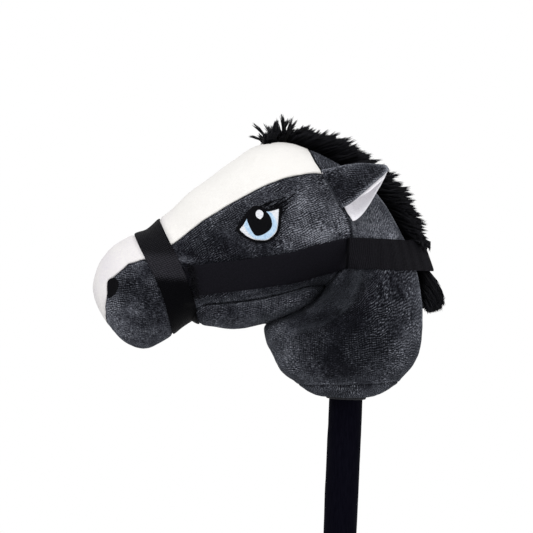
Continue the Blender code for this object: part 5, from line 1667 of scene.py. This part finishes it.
@dataclass
class EarForm:
    """One ear: a folded leaf whose far wall lies along the neck and whose near wall is shorter."""

    caster: Caster
    top_angle: float = 51.0
    low_angle: float = 94.0
    length: float = 0.0568
    running: Triple = (0.958, -0.215, 0.081)
    root_shift: float = 0.0018
    arch: float = 0.0039
    far_share: float = 1.018
    near_share: float = 0.812
    root_scoop: float = 0.0045
    scoop: float = 0.0085
    scoop_span: float = 0.91
    scoop_early: float = 0.8
    arch_late: float = 1.3
    cup: float = 0.9
    taper: float = 1.385
    far_fullness: float = 0.98
    near_fullness: float = 0.746
    point_share: float = 0.25
    round_angle: float = 112.0
    end: float = 0.965
    running_gap: float = 1.1 * MM
    lining: float = 1.2 * MM

    def __post_init__(self) -> None:
        """Places the root."""
        top, low = FORM.surface(FACE_SEAM, self.top_angle), FORM.surface(FACE_SEAM, self.low_angle)
        self.reach = np.linalg.norm(low - top)
        self.drop = unit(low - top)
        self.run = unit(np.array(self.running))
        out = unit(np.cross(self.drop, self.run))
        self.out = out if out[1] < 0 else -out
        self.wall = PLUSH_THICKNESS + 0.3 * MM + self.lining
        stand_off = self.running_gap + self.wall + self.root_scoop
        self.root = top + self.out * stand_off + self.run * self.root_shift

    def points(self, s: Array, t: Array) -> Array:
        """Points of the outer face: s from root to tip, t from the far edge, -1, to the near edge, 1."""
        left = np.maximum(1 - s, 0.0)
        early = np.maximum(s, 0.0)
        narrowed = np.maximum(1 - early ** self.taper, 0.0)
        far = self.reach * self.far_share * narrowed ** self.far_fullness
        near = self.reach * self.near_share * narrowed ** self.near_fullness
        swell = np.sin(np.pi * np.minimum(early / self.scoop_span, 1.0) ** self.scoop_early)
        scoop = self.root_scoop + (self.scoop - self.root_scoop) * swell
        scoop = scoop + self.wall * np.minimum(left / self.point_share, 1.0)
        arch = self.arch * np.sin(np.pi * early ** self.arch_late)
        fold = self.root + self.run * (self.length * s)[..., None] - self.drop * arch[..., None]
        wall = np.where(t > 0, near, far)
        bend = np.sin(np.radians(self.round_angle) * np.abs(t)) * np.sign(t)
        place = fold + self.drop * (wall * t * t)[..., None] + self.out * (scoop * bend * self.cup)[..., None]
        return self.lift_clear(place)

    def lift_clear(self, place: Array) -> Array:
        """Moves points outwards where they would come too near the head."""
        hits = self.caster.onto(place + self.out * 0.25, -self.out)
        need = (hits + self.out * self.running_gap - place) @ self.out
        missed = np.linalg.norm(hits - place - self.out * 0.25, axis=-1) < 1e-5
        return place + self.out * np.where(missed, 0.0, np.maximum(need, 0.0))[..., None]


@dataclass
class Ears:
    """Both ears."""

    caster: Caster
    rows: int = 78
    columns: int = 91
    bend_length: float = 0.014
    tuck: float = 3.0 * MM
    tuck_rows: int = 8
    edge_turn: float = 1.1 * MM
    edge_radius: float = 1.6 * MM
    lining_gap: float = 0.25 * MM
    lining_over: float = 1.9 * MM
    lining_rolled: float = 2.6 * MM
    highlight_edge: tuple[float, float] = (0.8 * MM, 1.5 * MM)
    highlight_folds: tuple[Point, ...] = ((0.68, 4.0 * MM), (0.14, 9.0 * MM))
    shaded_middle: float = 0.17

    def __post_init__(self) -> None:
        """Finds the grid that both sheets of an ear follow."""
        self.form = EarForm(self.caster)
        up = 1 - (1 - np.linspace(0.0, 1.0, self.rows)) ** 1.35
        self.s, self.t = np.meshgrid(up, np.linspace(-1.0, 1.0, self.columns), indexing="ij")
        face = smoothed(self.form.points(self.s * self.form.end, self.t), 2)
        self.face = np.swapaxes(smoothed(np.swapaxes(face, 0, 1), 2), 0, 1)
        normals = grid_normals(self.face)
        self.normals = normals * -np.sign(np.sum(normals[10, 45] * self.form.out))

    def outside(self) -> tuple[Array, Array]:
        """Back and front of the grey outside, which runs into the seam at its root."""
        form, face = self.form, self.face
        root = np.linspace(1.0, 0.0, self.tuck_rows + 1)[:-1, None, None]
        aim = self.caster.onto(face[:1] + form.out * self.caster.clear - form.run * self.tuck, -form.out)
        tuck = face[:1] + (aim - form.out * 1.5 * MM - face[:1]) * root ** 1.3
        edge = (1 - np.abs(self.t)) * form.reach * 1.4
        rim = np.clip(np.minimum(edge, (1 - self.s) * form.length * 1.1) / self.edge_radius, 0, 1)
        turn_in = self.edge_turn * (1 - np.sqrt(np.clip(1 - (1 - rim) ** 2, 0, 1)))
        fuzz = 0.16 * MM * unevenness(face, 2.4 * MM, 13) + 0.3 * MM * unevenness(face, 9 * MM, 17)
        outer = face - self.normals * (turn_in - fuzz)[..., None]
        inner = face - self.normals * (PLUSH_THICKNESS - 0.5 * turn_in)[..., None]
        return np.concatenate([tuck, outer]), np.concatenate([tuck - form.out * 0.5 * MM, inner])

    def lining(self) -> tuple[Array, Array]:
        """Back and front of the white lining, its far edge past the plush and its near edge rolled out."""
        s, t, face, low = self.s, self.t, self.face, PLUSH_THICKNESS + self.lining_gap
        far = self.lining_over * ramp((-0.78 - t) / 0.22) * ramp((1 - s) / 0.12)
        near = self.lining_rolled * ramp((t - 0.74) / 0.26) * ramp((s - 0.30) / 0.25) * ramp((1 - s) / 0.15)
        over = unit(face[:, :1] - face[:, 4:5]) * far[..., None]
        over = over + unit(face[:, -1:] - face[:, -5:-4]) * near[..., None]
        high = low + self.form.lining + 0.12 * MM * unevenness(face, 2.0 * MM, 23)
        keep = slice(0, self.rows - 3)
        return (face - self.normals * low + over)[keep], (face - self.normals * high[..., None] + over)[keep]

    def build(self) -> None:
        """Makes outside and lining of both ears."""
        form, outside, lining = self.form, self.outside(), self.lining()
        leaf = outside[0][self.tuck_rows:]
        edges = Nearest(np.concatenate([leaf[:, 0], leaf[:, -1], leaf[-1]]))
        folds = Nearest(leaf[np.arange(self.rows), np.argmax(leaf[..., 2], axis=1)])
        middle = (FORM.surface(FACE_SEAM, form.top_angle) + FORM.surface(FACE_SEAM, form.low_angle)) / 2
        for side, body in ((Side.LEFT, Body.LEFT_EAR), (Side.RIGHT, Body.RIGHT_EAR)):
            start = side.mirror(middle + form.out * 5 * MM + form.run * 0.5 * MM)
            end = start + side.mirror(form.run) * self.bend_length
            for piece, (back, front), finish in (("ear_outer", outside, GREY_PLUSH),
                                                 ("ear_lining", lining, LINING_PLUSH)):
                name, cloth = side.label(piece), cloth_lengths(back)
                made = sheet_piece(name + "_plush", side.mirror(back), side.mirror(front), cloth, finish)
                if finish is GREY_PLUSH:
                    mark_brushed_and_shaded(made, lambda points: self.lit(side.mirror(points), edges, folds))
                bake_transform(made)
                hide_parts(name)
                log.info("%s: %d faces between toy and %s", made.name, len(made.data.polygons), body.value)

    def lit(self, points: Array, edges: Nearest, folds: Nearest) -> Array:
        """Painted highlight along an ear's edge and fold, and painted shade between them."""
        at, width = self.highlight_edge
        lit = 0.8 * np.exp(-((edges.distance(points) - at) / width) ** 2)
        fold = folds.distance(points)
        for strength, reach in self.highlight_folds:
            lit += strength * np.exp(-(fold / reach) ** 2)
        return lit - self.shaded_middle + 0.16 * unevenness(points, 9 * MM, 53)


# u and the height of the solid pile there
MANE_HEIGHTS = np.array((
    (11.15, 0.0120), (11.6, 0.0185), (12.2, 0.0200), (13.2, 0.0190), (14.4, 0.0215), (15.6, 0.0235),
    (16.15, 0.0215), (16.45, 0.0130), (17.25, 0.0115), (17.55, 0.0155), (17.9, 0.0180), (18.1, 0.0180),
    (18.3, 0.0150)))
# u and how much of the solid pile's height the strands reach there
PILE_SHARES = np.array(((11.15, 0.62), (11.6, 0.93), (12.3, 0.90), (12.7, 0.86), (13.1, 1.10), (14.2, 1.03),
                        (15.0, 1.04), (15.6, 1.05), (16.1, 0.98), (16.6, 0.9)))


@dataclass
class Tufts:
    """Where the mane's tufts grow, one row for each.

    Share is the distance to the left of the crest over the pile's half width, forelock and last are 1 in the
    forelock and in the hair below the band, and down points along the crest.
    """

    u: Array
    share: Array
    forelock: Array
    last: Array
    base: Array
    normal: Array
    down: Array


@dataclass
class Mane:
    """Mane and forelock: long pile in tufts, on a strip of cloth along the crest."""

    half_width: float = 13.5 * MM
    foot: float = 1.6 * MM
    clump_step: float = 2.1 * MM
    strands_each: int = 30
    root_width: float = 0.76 * MM
    sunk: float = 0.2 * MM
    hang_to: float = 0.0735
    hang_out: float = 9.0 * MM
    levels: int = 4
    level_bend: float = 1.7
    cloth_half_width: float = 7 * MM
    cloth_levels: tuple[float, float] = (1.3 * MM, 0.35 * MM)
    short: tuple[float, float] = (0.74, 0.99)
    tall: tuple[float, float] = (0.7, 1.25)
    tall_share: tuple[float, float] = (0.3, 0.2)
    tied: tuple[float, float] = (0.66, 1.0)
    band_press: float = 0.4 * MM
    band_margin: float = 0.5 * MM

    def arch_points(self) -> Array:
        """Points of the solid pile's arch over the crest, which the neck band lies over."""
        u = np.linspace(MANE_HEIGHTS[0, 0], MANE_HEIGHTS[-1, 0], 93)[:, None]
        share = np.linspace(-1.0, 1.0, 33)
        reach = FORM.crest_angle(u, np.full_like(u, self.half_width))
        v = reach * np.sign(share) * np.abs(share) ** 0.8
        height = np.interp(u, MANE_HEIGHTS[:, 0], MANE_HEIGHTS[:, 1])
        rise = self.foot + (height - self.foot) * np.sqrt(np.maximum(1 - share ** 2, 0.0))
        return (FORM.surface(u, v) + FORM.outward(u, v) * rise[..., None]).reshape(-1, 3)

    def backing(self) -> None:
        """The strip of cloth that carries the pile."""
        u = FORM.rows(MANE_HEIGHTS[0, 0] + 0.1, MANE_HEIGHTS[-1, 0] - 0.1, 2 * MM, (False, False))
        share = np.linspace(-1.0, 1.0, 9)
        v = FORM.crest_angle(u, np.full_like(u, self.cloth_half_width))[:, None] * share
        smooth, normals = FORM.surface(u[:, None], v), FORM.outward(u[:, None], v)
        outer, inner = (smooth + normals * level for level in self.cloth_levels)
        piece = sheet_piece("mane_backing_cloth", outer, inner, cloth_lengths(smooth), BACKING_CLOTH)
        settle(piece, BACKING_CLOTH, "mane_backing")

    def tufts(self) -> Tufts:
        """The tufts, in rows along the crest with their places shaken."""
        fine = np.linspace(MANE_HEIGHTS[0, 0] + 0.25, MANE_HEIGHTS[-1, 0] - 0.3, 600)
        run = lengths(FORM.surface(fine, 0.0))
        rows = np.arange(0.0, run[-1], self.clump_step * 0.87)
        across = np.arange(-self.half_width + 1 * MM, self.half_width, self.clump_step)
        along, beside = np.meshgrid(rows, across, indexing="ij")
        beside = beside + (np.arange(len(rows)) % 2)[:, None] * self.clump_step / 2
        dice = np.random.default_rng(11)
        along = along + dice.uniform(-0.4, 0.4, along.shape) * self.clump_step
        beside = beside + dice.uniform(-0.4, 0.4, along.shape) * self.clump_step
        u = np.interp(along.ravel(), run, fine)
        forelock, last = ramp((12.7 - u) / 1.3), ramp((u - 16.8) / 0.1)
        beside = np.clip(beside.ravel(), -self.half_width, self.half_width) * (1 - 0.4 * last)
        v = FORM.crest_angle(u, beside)
        return Tufts(u, beside / self.half_width, forelock, last, FORM.surface(u, v), FORM.outward(u, v),
                     FORM.along(u))

    def tuft_length(self, tufts: Tufts, down_share: Array, dice: np.random.Generator) -> Array:
        """How long each tuft is, with some tall ones in between."""
        count, front = len(tufts.u), tufts.forelock > 0.3
        tall = dice.uniform(0.0, 1.0, count) < np.where(front, *self.tall_share)
        ragged = dice.uniform(*self.short, count)
        ragged = np.where(tall & ~front, 1.05 * ragged, ragged)
        ragged = np.where(front, np.where(tall, dice.uniform(*self.tall, count), 0.6 * ragged), ragged)
        ragged = ragged * np.interp(tufts.u, PILE_SHARES[:, 0], PILE_SHARES[:, 1])
        height = np.interp(tufts.u, MANE_HEIGHTS[:, 0], MANE_HEIGHTS[:, 1])
        return height * (0.95 + 0.15 * np.maximum(down_share, 0)) * (1 - 0.12 * tufts.share ** 2) * ragged

    def strands(self, band: Strap) -> tuple[Array, Array, Array]:
        """Every strand's points from root to tip, its cross-section's u, and its own number."""
        dice = np.random.default_rng(23)
        tufts = self.tufts()
        u, forelock, last, normal, down = tufts.u, tufts.forelock, tufts.last, tufts.normal, tufts.down
        count, each = len(u), self.strands_each
        poll = ramp((u - 12.4) / 0.6) * ramp((14.6 - u) / 0.8)
        down_share = 1.35 - 1.2 * forelock + 0.7 * poll
        length = self.tuft_length(tufts, down_share, dice)
        # Where each tuft heads, and how it droops and curls
        lean = down * down_share[:, None] + np.array((0.0, -0.6, 0.0)) * tufts.share[:, None]
        lean = lean + dice.normal(0.0, 1.0, (count, 3)) * (0.14 + 0.16 * forelock - 0.06 * last)[:, None]
        heading = unit(normal + lean)
        curl = dice.normal(0.0, 1.0, (count, 3)) * (0.26 + 0.95 * forelock - 0.1 * last)[:, None]
        droop = down * (0.25 - 0.25 * forelock + 0.25 * last)[:, None] + curl
        # How far the hair below the band hangs down and stands out
        fall = np.clip(tufts.base[:, 2] - NECK_BASE - self.hang_to, 7 * MM, 40 * MM)
        fall = fall * dice.uniform(0.86, 1.05, count)
        stand = np.minimum(0.55 * fall + 3 * MM, self.hang_out) * dice.uniform(0.02, 1.0, count) ** 0.8
        # Each strand's place in its tuft, and how it differs from the rest of it
        radius = self.clump_step * 0.75 * np.sqrt(dice.uniform(0.0, 1.0, (count, each)))
        turn = dice.uniform(0.0, 2 * np.pi, (count, each))
        aside, ahead = unit(np.cross(normal, down))[:, None], down[:, None]
        offset = (radius * np.cos(turn))[..., None] * aside + (radius * np.sin(turn))[..., None] * ahead
        tied = np.minimum(dice.uniform(*self.tied, count) + 0.1 * forelock, 1.0)[:, None]
        gather = tied - dice.uniform(0.01, 0.18, (count, each))
        own = 1 - 0.3 * dice.uniform(0.0, 1.0, (count, each)) ** 2.0
        stray = dice.normal(0.0, 1.0, (count, each, 3)) * (0.026 - 0.006 * forelock)[:, None, None]
        curls = dice.normal(0.0, 1.0, (count, each, 3)) * (0.14 * forelock)[:, None, None]
        roots, hanging = (tufts.base + normal * self.sunk)[:, None], last[:, None, None]
        path = []
        for up in 1 - (1 - np.linspace(0.0, 1.0, self.levels)) ** self.level_bend:
            reach = (length[:, None] * own * up)[..., None]
            arc = reach * (heading[:, None] + stray) + (reach * up * 0.42) * (droop[:, None] + curls)
            out = (stand * (1 - (1 - up) ** 2.2) * (1 + 0.3 * up))[:, None, None] * normal[:, None]
            hung = out + own[..., None] * (fall * up ** 1.4)[:, None, None] * down[:, None]
            hung = hung + 2 * self.hang_out * up * stray
            keep = 1 - gather * ramp(up * 1.05) ** 0.8
            path.append(roots + offset * keep[..., None] + arc * (1 - hanging) + hung * hanging)
        points = np.stack(path, axis=2).reshape(-1, self.levels, 3)
        numbers = dice.uniform(0.0, 1.0, len(points))
        return self.tucked_under(points, band), np.repeat(u, each), numbers

    def tucked_under(self, points: Array, band: Strap) -> Array:
        """Strands pressed flat where the neck band lies over them."""
        hub = np.array((BAND_CENTRE_X, 0.0, 0.0))
        middle = band.grid[:, band.grid.shape[1] // 2] - hub
        height = points[..., 2] - middle[len(middle) // 2, 2]
        points_off = points - hub
        limits = np.arctan2(middle[:, 1], middle[:, 0])
        order = np.argsort(limits)
        turn = np.arctan2(points_off[..., 1], points_off[..., 0])
        radii = np.hypot(middle[:, 0], middle[:, 1])
        band_radius = np.interp(turn, limits[order], radii[order]) + STRAP_GAP
        beyond = np.maximum(np.abs(height) - WEBBING_WIDTH / 2 - self.band_margin, 0.0)
        flat = np.hypot(points_off[..., 0], points_off[..., 1])
        outward = unit(points_off * LEVEL)
        over = np.maximum(flat - band_radius + self.band_press - 1.6 * beyond, 0.0)
        short = np.maximum(band_radius + WEBBING_THICKNESS + self.band_margin - flat, 0.0) * (beyond <= 0.0)
        above = (height[:, :1] > WEBBING_WIDTH / 2) & (np.arange(points.shape[1]) > 0)
        return points + outward * np.where(above, short, -over)[..., None]

    def build(self, band: Strap) -> None:
        """Makes the strip of cloth and the pile in six pieces."""
        self.backing()
        points, u, numbers = self.strands(band)
        limits = (-np.inf, 12.3, 13.4, 14.5, 15.5, 16.5, np.inf)
        names = ("forelock_pile", "poll_pile", "crest_pile", "nape_pile", "neck_pile", "lower_pile")
        for i, name in enumerate(names):
            chosen = (u >= limits[i]) & (u < limits[i + 1])
            piece = strand_piece(name, points[chosen], numbers[chosen], self.root_width, MANE_HAIR)
            settle(piece, MANE_HAIR, *(("mane_pile",) if i == 1 else ()))


STRAND_TAPER = 0.55  # how much thinner a strand is before its tip


def strand_piece(name: str, points: Array, numbers: Array, width: float, finish: Finish) -> Piece:
    """Many closed tapered strands as one piece.

    Args:
        name: the piece's name.
        points: each strand's points from root to tip.
        numbers: each strand's own number from 0 to 1.
        width: the strands' width at the root.
        finish: what they are made of.

    Returns:
        The piece.
    """
    count, levels = points.shape[:2]
    run = unit(np.gradient(points, axis=1))
    side = unit(np.cross(run, np.array((0.31, 0.77, 0.55))))
    other = np.cross(run, side)
    taper = width / 2 * (1.0 - STRAND_TAPER * (np.arange(levels - 1) / (levels - 1)) ** 1.5)
    corners = []
    for angle in 2 * math.pi * np.arange(3) / 3:
        outward = (side * math.cos(angle) + other * math.sin(angle))[:, :-1]
        corners.append(points[:, :-1] + outward * taper[:, None])
    rings = np.stack(corners, axis=2).reshape(count, -1, 3)
    every = np.concatenate([rings, points[:, -1:]], axis=1)
    faces, spots = [], []
    for level, k in itertools.product(range(levels - 1), range(3)):
        a, b = level * 3 + k, level * 3 + (k + 1) % 3
        low, high = level / (levels - 1), (level + 1) / (levels - 1)
        if level < levels - 2:
            faces += [(a, b, b + 3), (a, b + 3, a + 3)]
            spots += [((0.0, low), (1.0, low), (1.0, high)), ((0.0, low), (1.0, high), (0.0, high))]
        else:
            faces.append((a, b, every.shape[1] - 1))
            spots.append(((0.0, low), (1.0, low), (0.5, 1.0)))
    faces.append((2, 1, 0))
    spots.append(((0.0, 0.0), (1.0, 0.0), (0.5, 0.02)))
    whole = (np.array(faces)[None] + (np.arange(count) * every.shape[1])[:, None, None]).reshape(-1, 3)
    spot = np.broadcast_to(np.array(spots)[None], (count, len(faces), 3, 2)).copy()
    spot[..., 0] = spot[..., 0] * 0.02 + numbers[:, None, None] * 0.98
    return mesh_piece(name, every, whole, {"strand": spot, "OFBake": spot}, finish, mend=False)


@dataclass
class Stick:
    """The pole, its cloth sleeve, the foot and the fittings inside the neck."""

    sleeve_bottom: float = 6.3 * MM
    sleeve_top: float = 0.668
    sleeve_wall: float = 1.1 * MM
    sleeve_rings: int = 180
    fold: float = 0.28 * MM
    fold_from: float = 0.036
    fold_to: float = 0.618

    def sleeve(self) -> None:
        """The cloth tube, a little loose over the pole."""
        deselect_all()
        length = self.sleeve_top - self.sleeve_bottom
        bpy.ops.mesh.primitive_cylinder_add(vertices=72, radius=SLEEVE_RADIUS, depth=length,
                                            end_fill_type="NOTHING",
                                            location=(0.0, 0.0, self.sleeve_bottom + length / 2))
        tube = bpy.context.object
        tube.name = "sleeve_cloth"
        bpy.ops.object.mode_set(mode="EDIT")
        bpy.ops.mesh.select_mode(type="EDGE")
        shape = bmesh.from_edit_mesh(tube.data)
        for edge in shape.edges:
            edge.select = abs(edge.verts[0].co.z - edge.verts[1].co.z) > length / 2
        bmesh.update_edit_mesh(tube.data)
        bpy.ops.mesh.subdivide(number_cuts=self.sleeve_rings)
        bpy.ops.object.mode_set(mode="OBJECT")
        bpy.ops.object.transform_apply(location=True, rotation=True, scale=True)
        points = np.array([vertex.co for vertex in tube.data.vertices])
        folds = unevenness(points * (1.0, 1.0, 0.22), 7 * MM, 41)
        folds += 0.5 * unevenness(points * (1.0, 1.0, 1.6), 5 * MM, 43)
        held = ramp((points[:, 2] - self.fold_from) / 0.02) * ramp((self.fold_to - points[:, 2]) / 0.02)
        points += unit(points * LEVEL) * (self.fold * folds * held)[:, None]
        tube.data.vertices.foreach_set("co", points.astype(np.float32).ravel())
        wall = tube.modifiers.new("Wall", "SOLIDIFY")
        wall.thickness, wall.offset = self.sleeve_wall, -1.0
        bpy.ops.object.modifier_apply(modifier=wall.name)
        bpy.ops.object.shade_smooth_by_angle(angle=math.radians(50.0))
        tube.data.materials.append(SLEEVE_CLOTH.material())
        settle(tube, SLEEVE_CLOTH, "stick_sleeve")

    def build(self) -> None:
        """Dresses the stick and its fittings."""
        self.sleeve()
        for node, finish in (("stick", WOOD), ("foot_cap", RUBBER), ("top_cap", PLASTIC),
                             ("cable_tie", PLASTIC), ("inner_cuff", BACKING_CLOTH)):
            solid = frame["nodes"][node]
            solid.data.materials.clear()
            solid.data.materials.append(finish.material())


@dataclass
class Studio:
    """Pale floor, soft lamps, white surroundings and the camera."""

    white: tuple[float, ...] = (1.0, 1.0, 1.0, 1.0)
    world_tint: tuple[float, ...] = (0.97, 0.98, 1.0, 1.0)
    world_level: float = 0.62
    floor_tint: tuple[float, ...] = (0.90, 0.90, 0.90, 1.0)
    floor_radius: float = 3.2
    fade: Point = (0.5, 2.2)
    camera_distance: float = 1.70
    target: Triple = (-0.0722, 0.0, NECK_BASE + 0.1079)
    roll: float = 2.46
    lens: float = 135.0
    lamps: tuple[tuple[str, Triple, float, float], ...] = (
        ("key", (-0.9, -1.6, 2.2), 1.2, 27.0), ("fill", (1.7, -1.3, 1.2), 1.4, 11.0),
        ("back", (0.6, 1.8, 1.9), 1.3, 13.0))

    def world(self) -> None:
        """Soft light from all round, white where it is seen."""
        world = bpy.data.worlds.new("Surroundings")
        bpy.context.scene.world = world
        world.use_nodes = True
        tree = world.node_tree
        tree.nodes.clear()
        path = add_node(tree, "ShaderNodeLightPath")
        camera, glossy, through = (path.outputs[f"Is {kind} Ray"]
                                   for kind in ("Camera", "Glossy", "Transmission"))
        seen = maths(tree, "MAXIMUM", camera, maths(tree, "MAXIMUM", glossy, through))
        levels = ((self.world_tint, self.world_level), (self.white, 1.0))
        light, white = (add_node(tree, "ShaderNodeBackground", {"Color": tint, "Strength": level})
                        for tint, level in levels)
        mixed = add_node(tree, "ShaderNodeMixShader", {0: seen, 1: light.outputs[0], 2: white.outputs[0]})
        add_node(tree, "ShaderNodeOutputWorld", {"Surface": mixed.outputs[0]})

    def floor(self) -> None:
        """A pale round floor that fades into the white."""
        deselect_all()
        bpy.ops.mesh.primitive_circle_add(vertices=128, radius=self.floor_radius, fill_type="NGON")
        floor = bpy.context.object
        floor.name = "floor"
        made = bpy.data.materials.new("PaleFloor")
        made.use_nodes = True
        tree = made.node_tree
        shader = tree.nodes["Principled BSDF"]
        Finish.constants(shader, {"Base Color": self.floor_tint, "Roughness": 0.9})
        place = add_node(tree, "ShaderNodeTexCoord").outputs["Object"]
        apart = add_node(tree, "ShaderNodeVectorMath", {0: place}, operation="LENGTH").outputs["Value"]
        fade = spread_of(tree, apart, *self.fade)
        seen = add_node(tree, "ShaderNodeLightPath").outputs["Is Camera Ray"]
        white = add_node(tree, "ShaderNodeEmission", {"Color": self.white, "Strength": 1.0})
        share = maths(tree, "MULTIPLY", fade, seen)
        mixed = add_node(tree, "ShaderNodeMixShader", {0: share, 1: shader.outputs[0], 2: white.outputs[0]})
        tree.links.new(mixed.outputs[0], tree.nodes["Material Output"].inputs["Surface"])
        floor.data.materials.append(made)

    def lamp(self, name: str, place: Triple, size: float, power: float) -> None:
        """A square lamp that looks at the head."""
        data = bpy.data.lights.new(name, "AREA")
        data.shape, data.size, data.energy = "SQUARE", size, power
        made = bpy.data.objects.new(name, data)
        made.location = place
        made.rotation_mode = "QUATERNION"
        made.rotation_quaternion = (Vector(self.target) - Vector(place)).to_track_quat("-Z", "Y")
        bpy.context.scene.collection.objects.link(made)

    def camera(self) -> None:
        """The photograph's point of view."""
        data = bpy.data.cameras.new("camera")
        data.lens, data.sensor_width, data.sensor_fit = self.lens, 36.0, "HORIZONTAL"
        made = bpy.data.objects.new("camera", data)
        target = Vector(self.target)
        made.location = target + Vector((0.0, -self.camera_distance, 0.0))
        look = (target - made.location).to_track_quat("-Z", "Y")
        made.rotation_mode = "QUATERNION"
        made.rotation_quaternion = look @ Matrix.Rotation(math.radians(self.roll), 4, "Z").to_quaternion()
        bpy.context.scene.collection.objects.link(made)
        bpy.context.scene.camera = made

    def build(self) -> None:
        """Sets up everything that isn't the toy."""
        bpy.context.scene.view_settings.view_transform = "Standard"
        self.world()
        self.floor()
        for lamp in self.lamps:
            self.lamp(*lamp)
        self.camera()


def write_sizes() -> None:
    """Updates the view layer."""
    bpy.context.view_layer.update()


def main() -> None:
    """Builds the studio and every part of the toy in order."""
    logging.basicConfig(level=logging.INFO, format="%(name)s %(message)s")
    Studio().build()
    caster, jaw_too = Caster(), Caster(with_jaw=True)
    mane = Mane()
    halter = Halter()
    halter.lay_out(caster, jaw_too, mane)
    relief = Relief(halter, caster)
    PlushPanels(relief).build()
    BaseDisc(relief).build()
    JawPad().build(caster, relief)
    halter.build()
    Embroidery(caster).build()
    Ears(caster).build()
    mane.build(halter.straps["neck"])
    Stick().build()
    write_sizes()


if __name__ == "__main__":
    main()
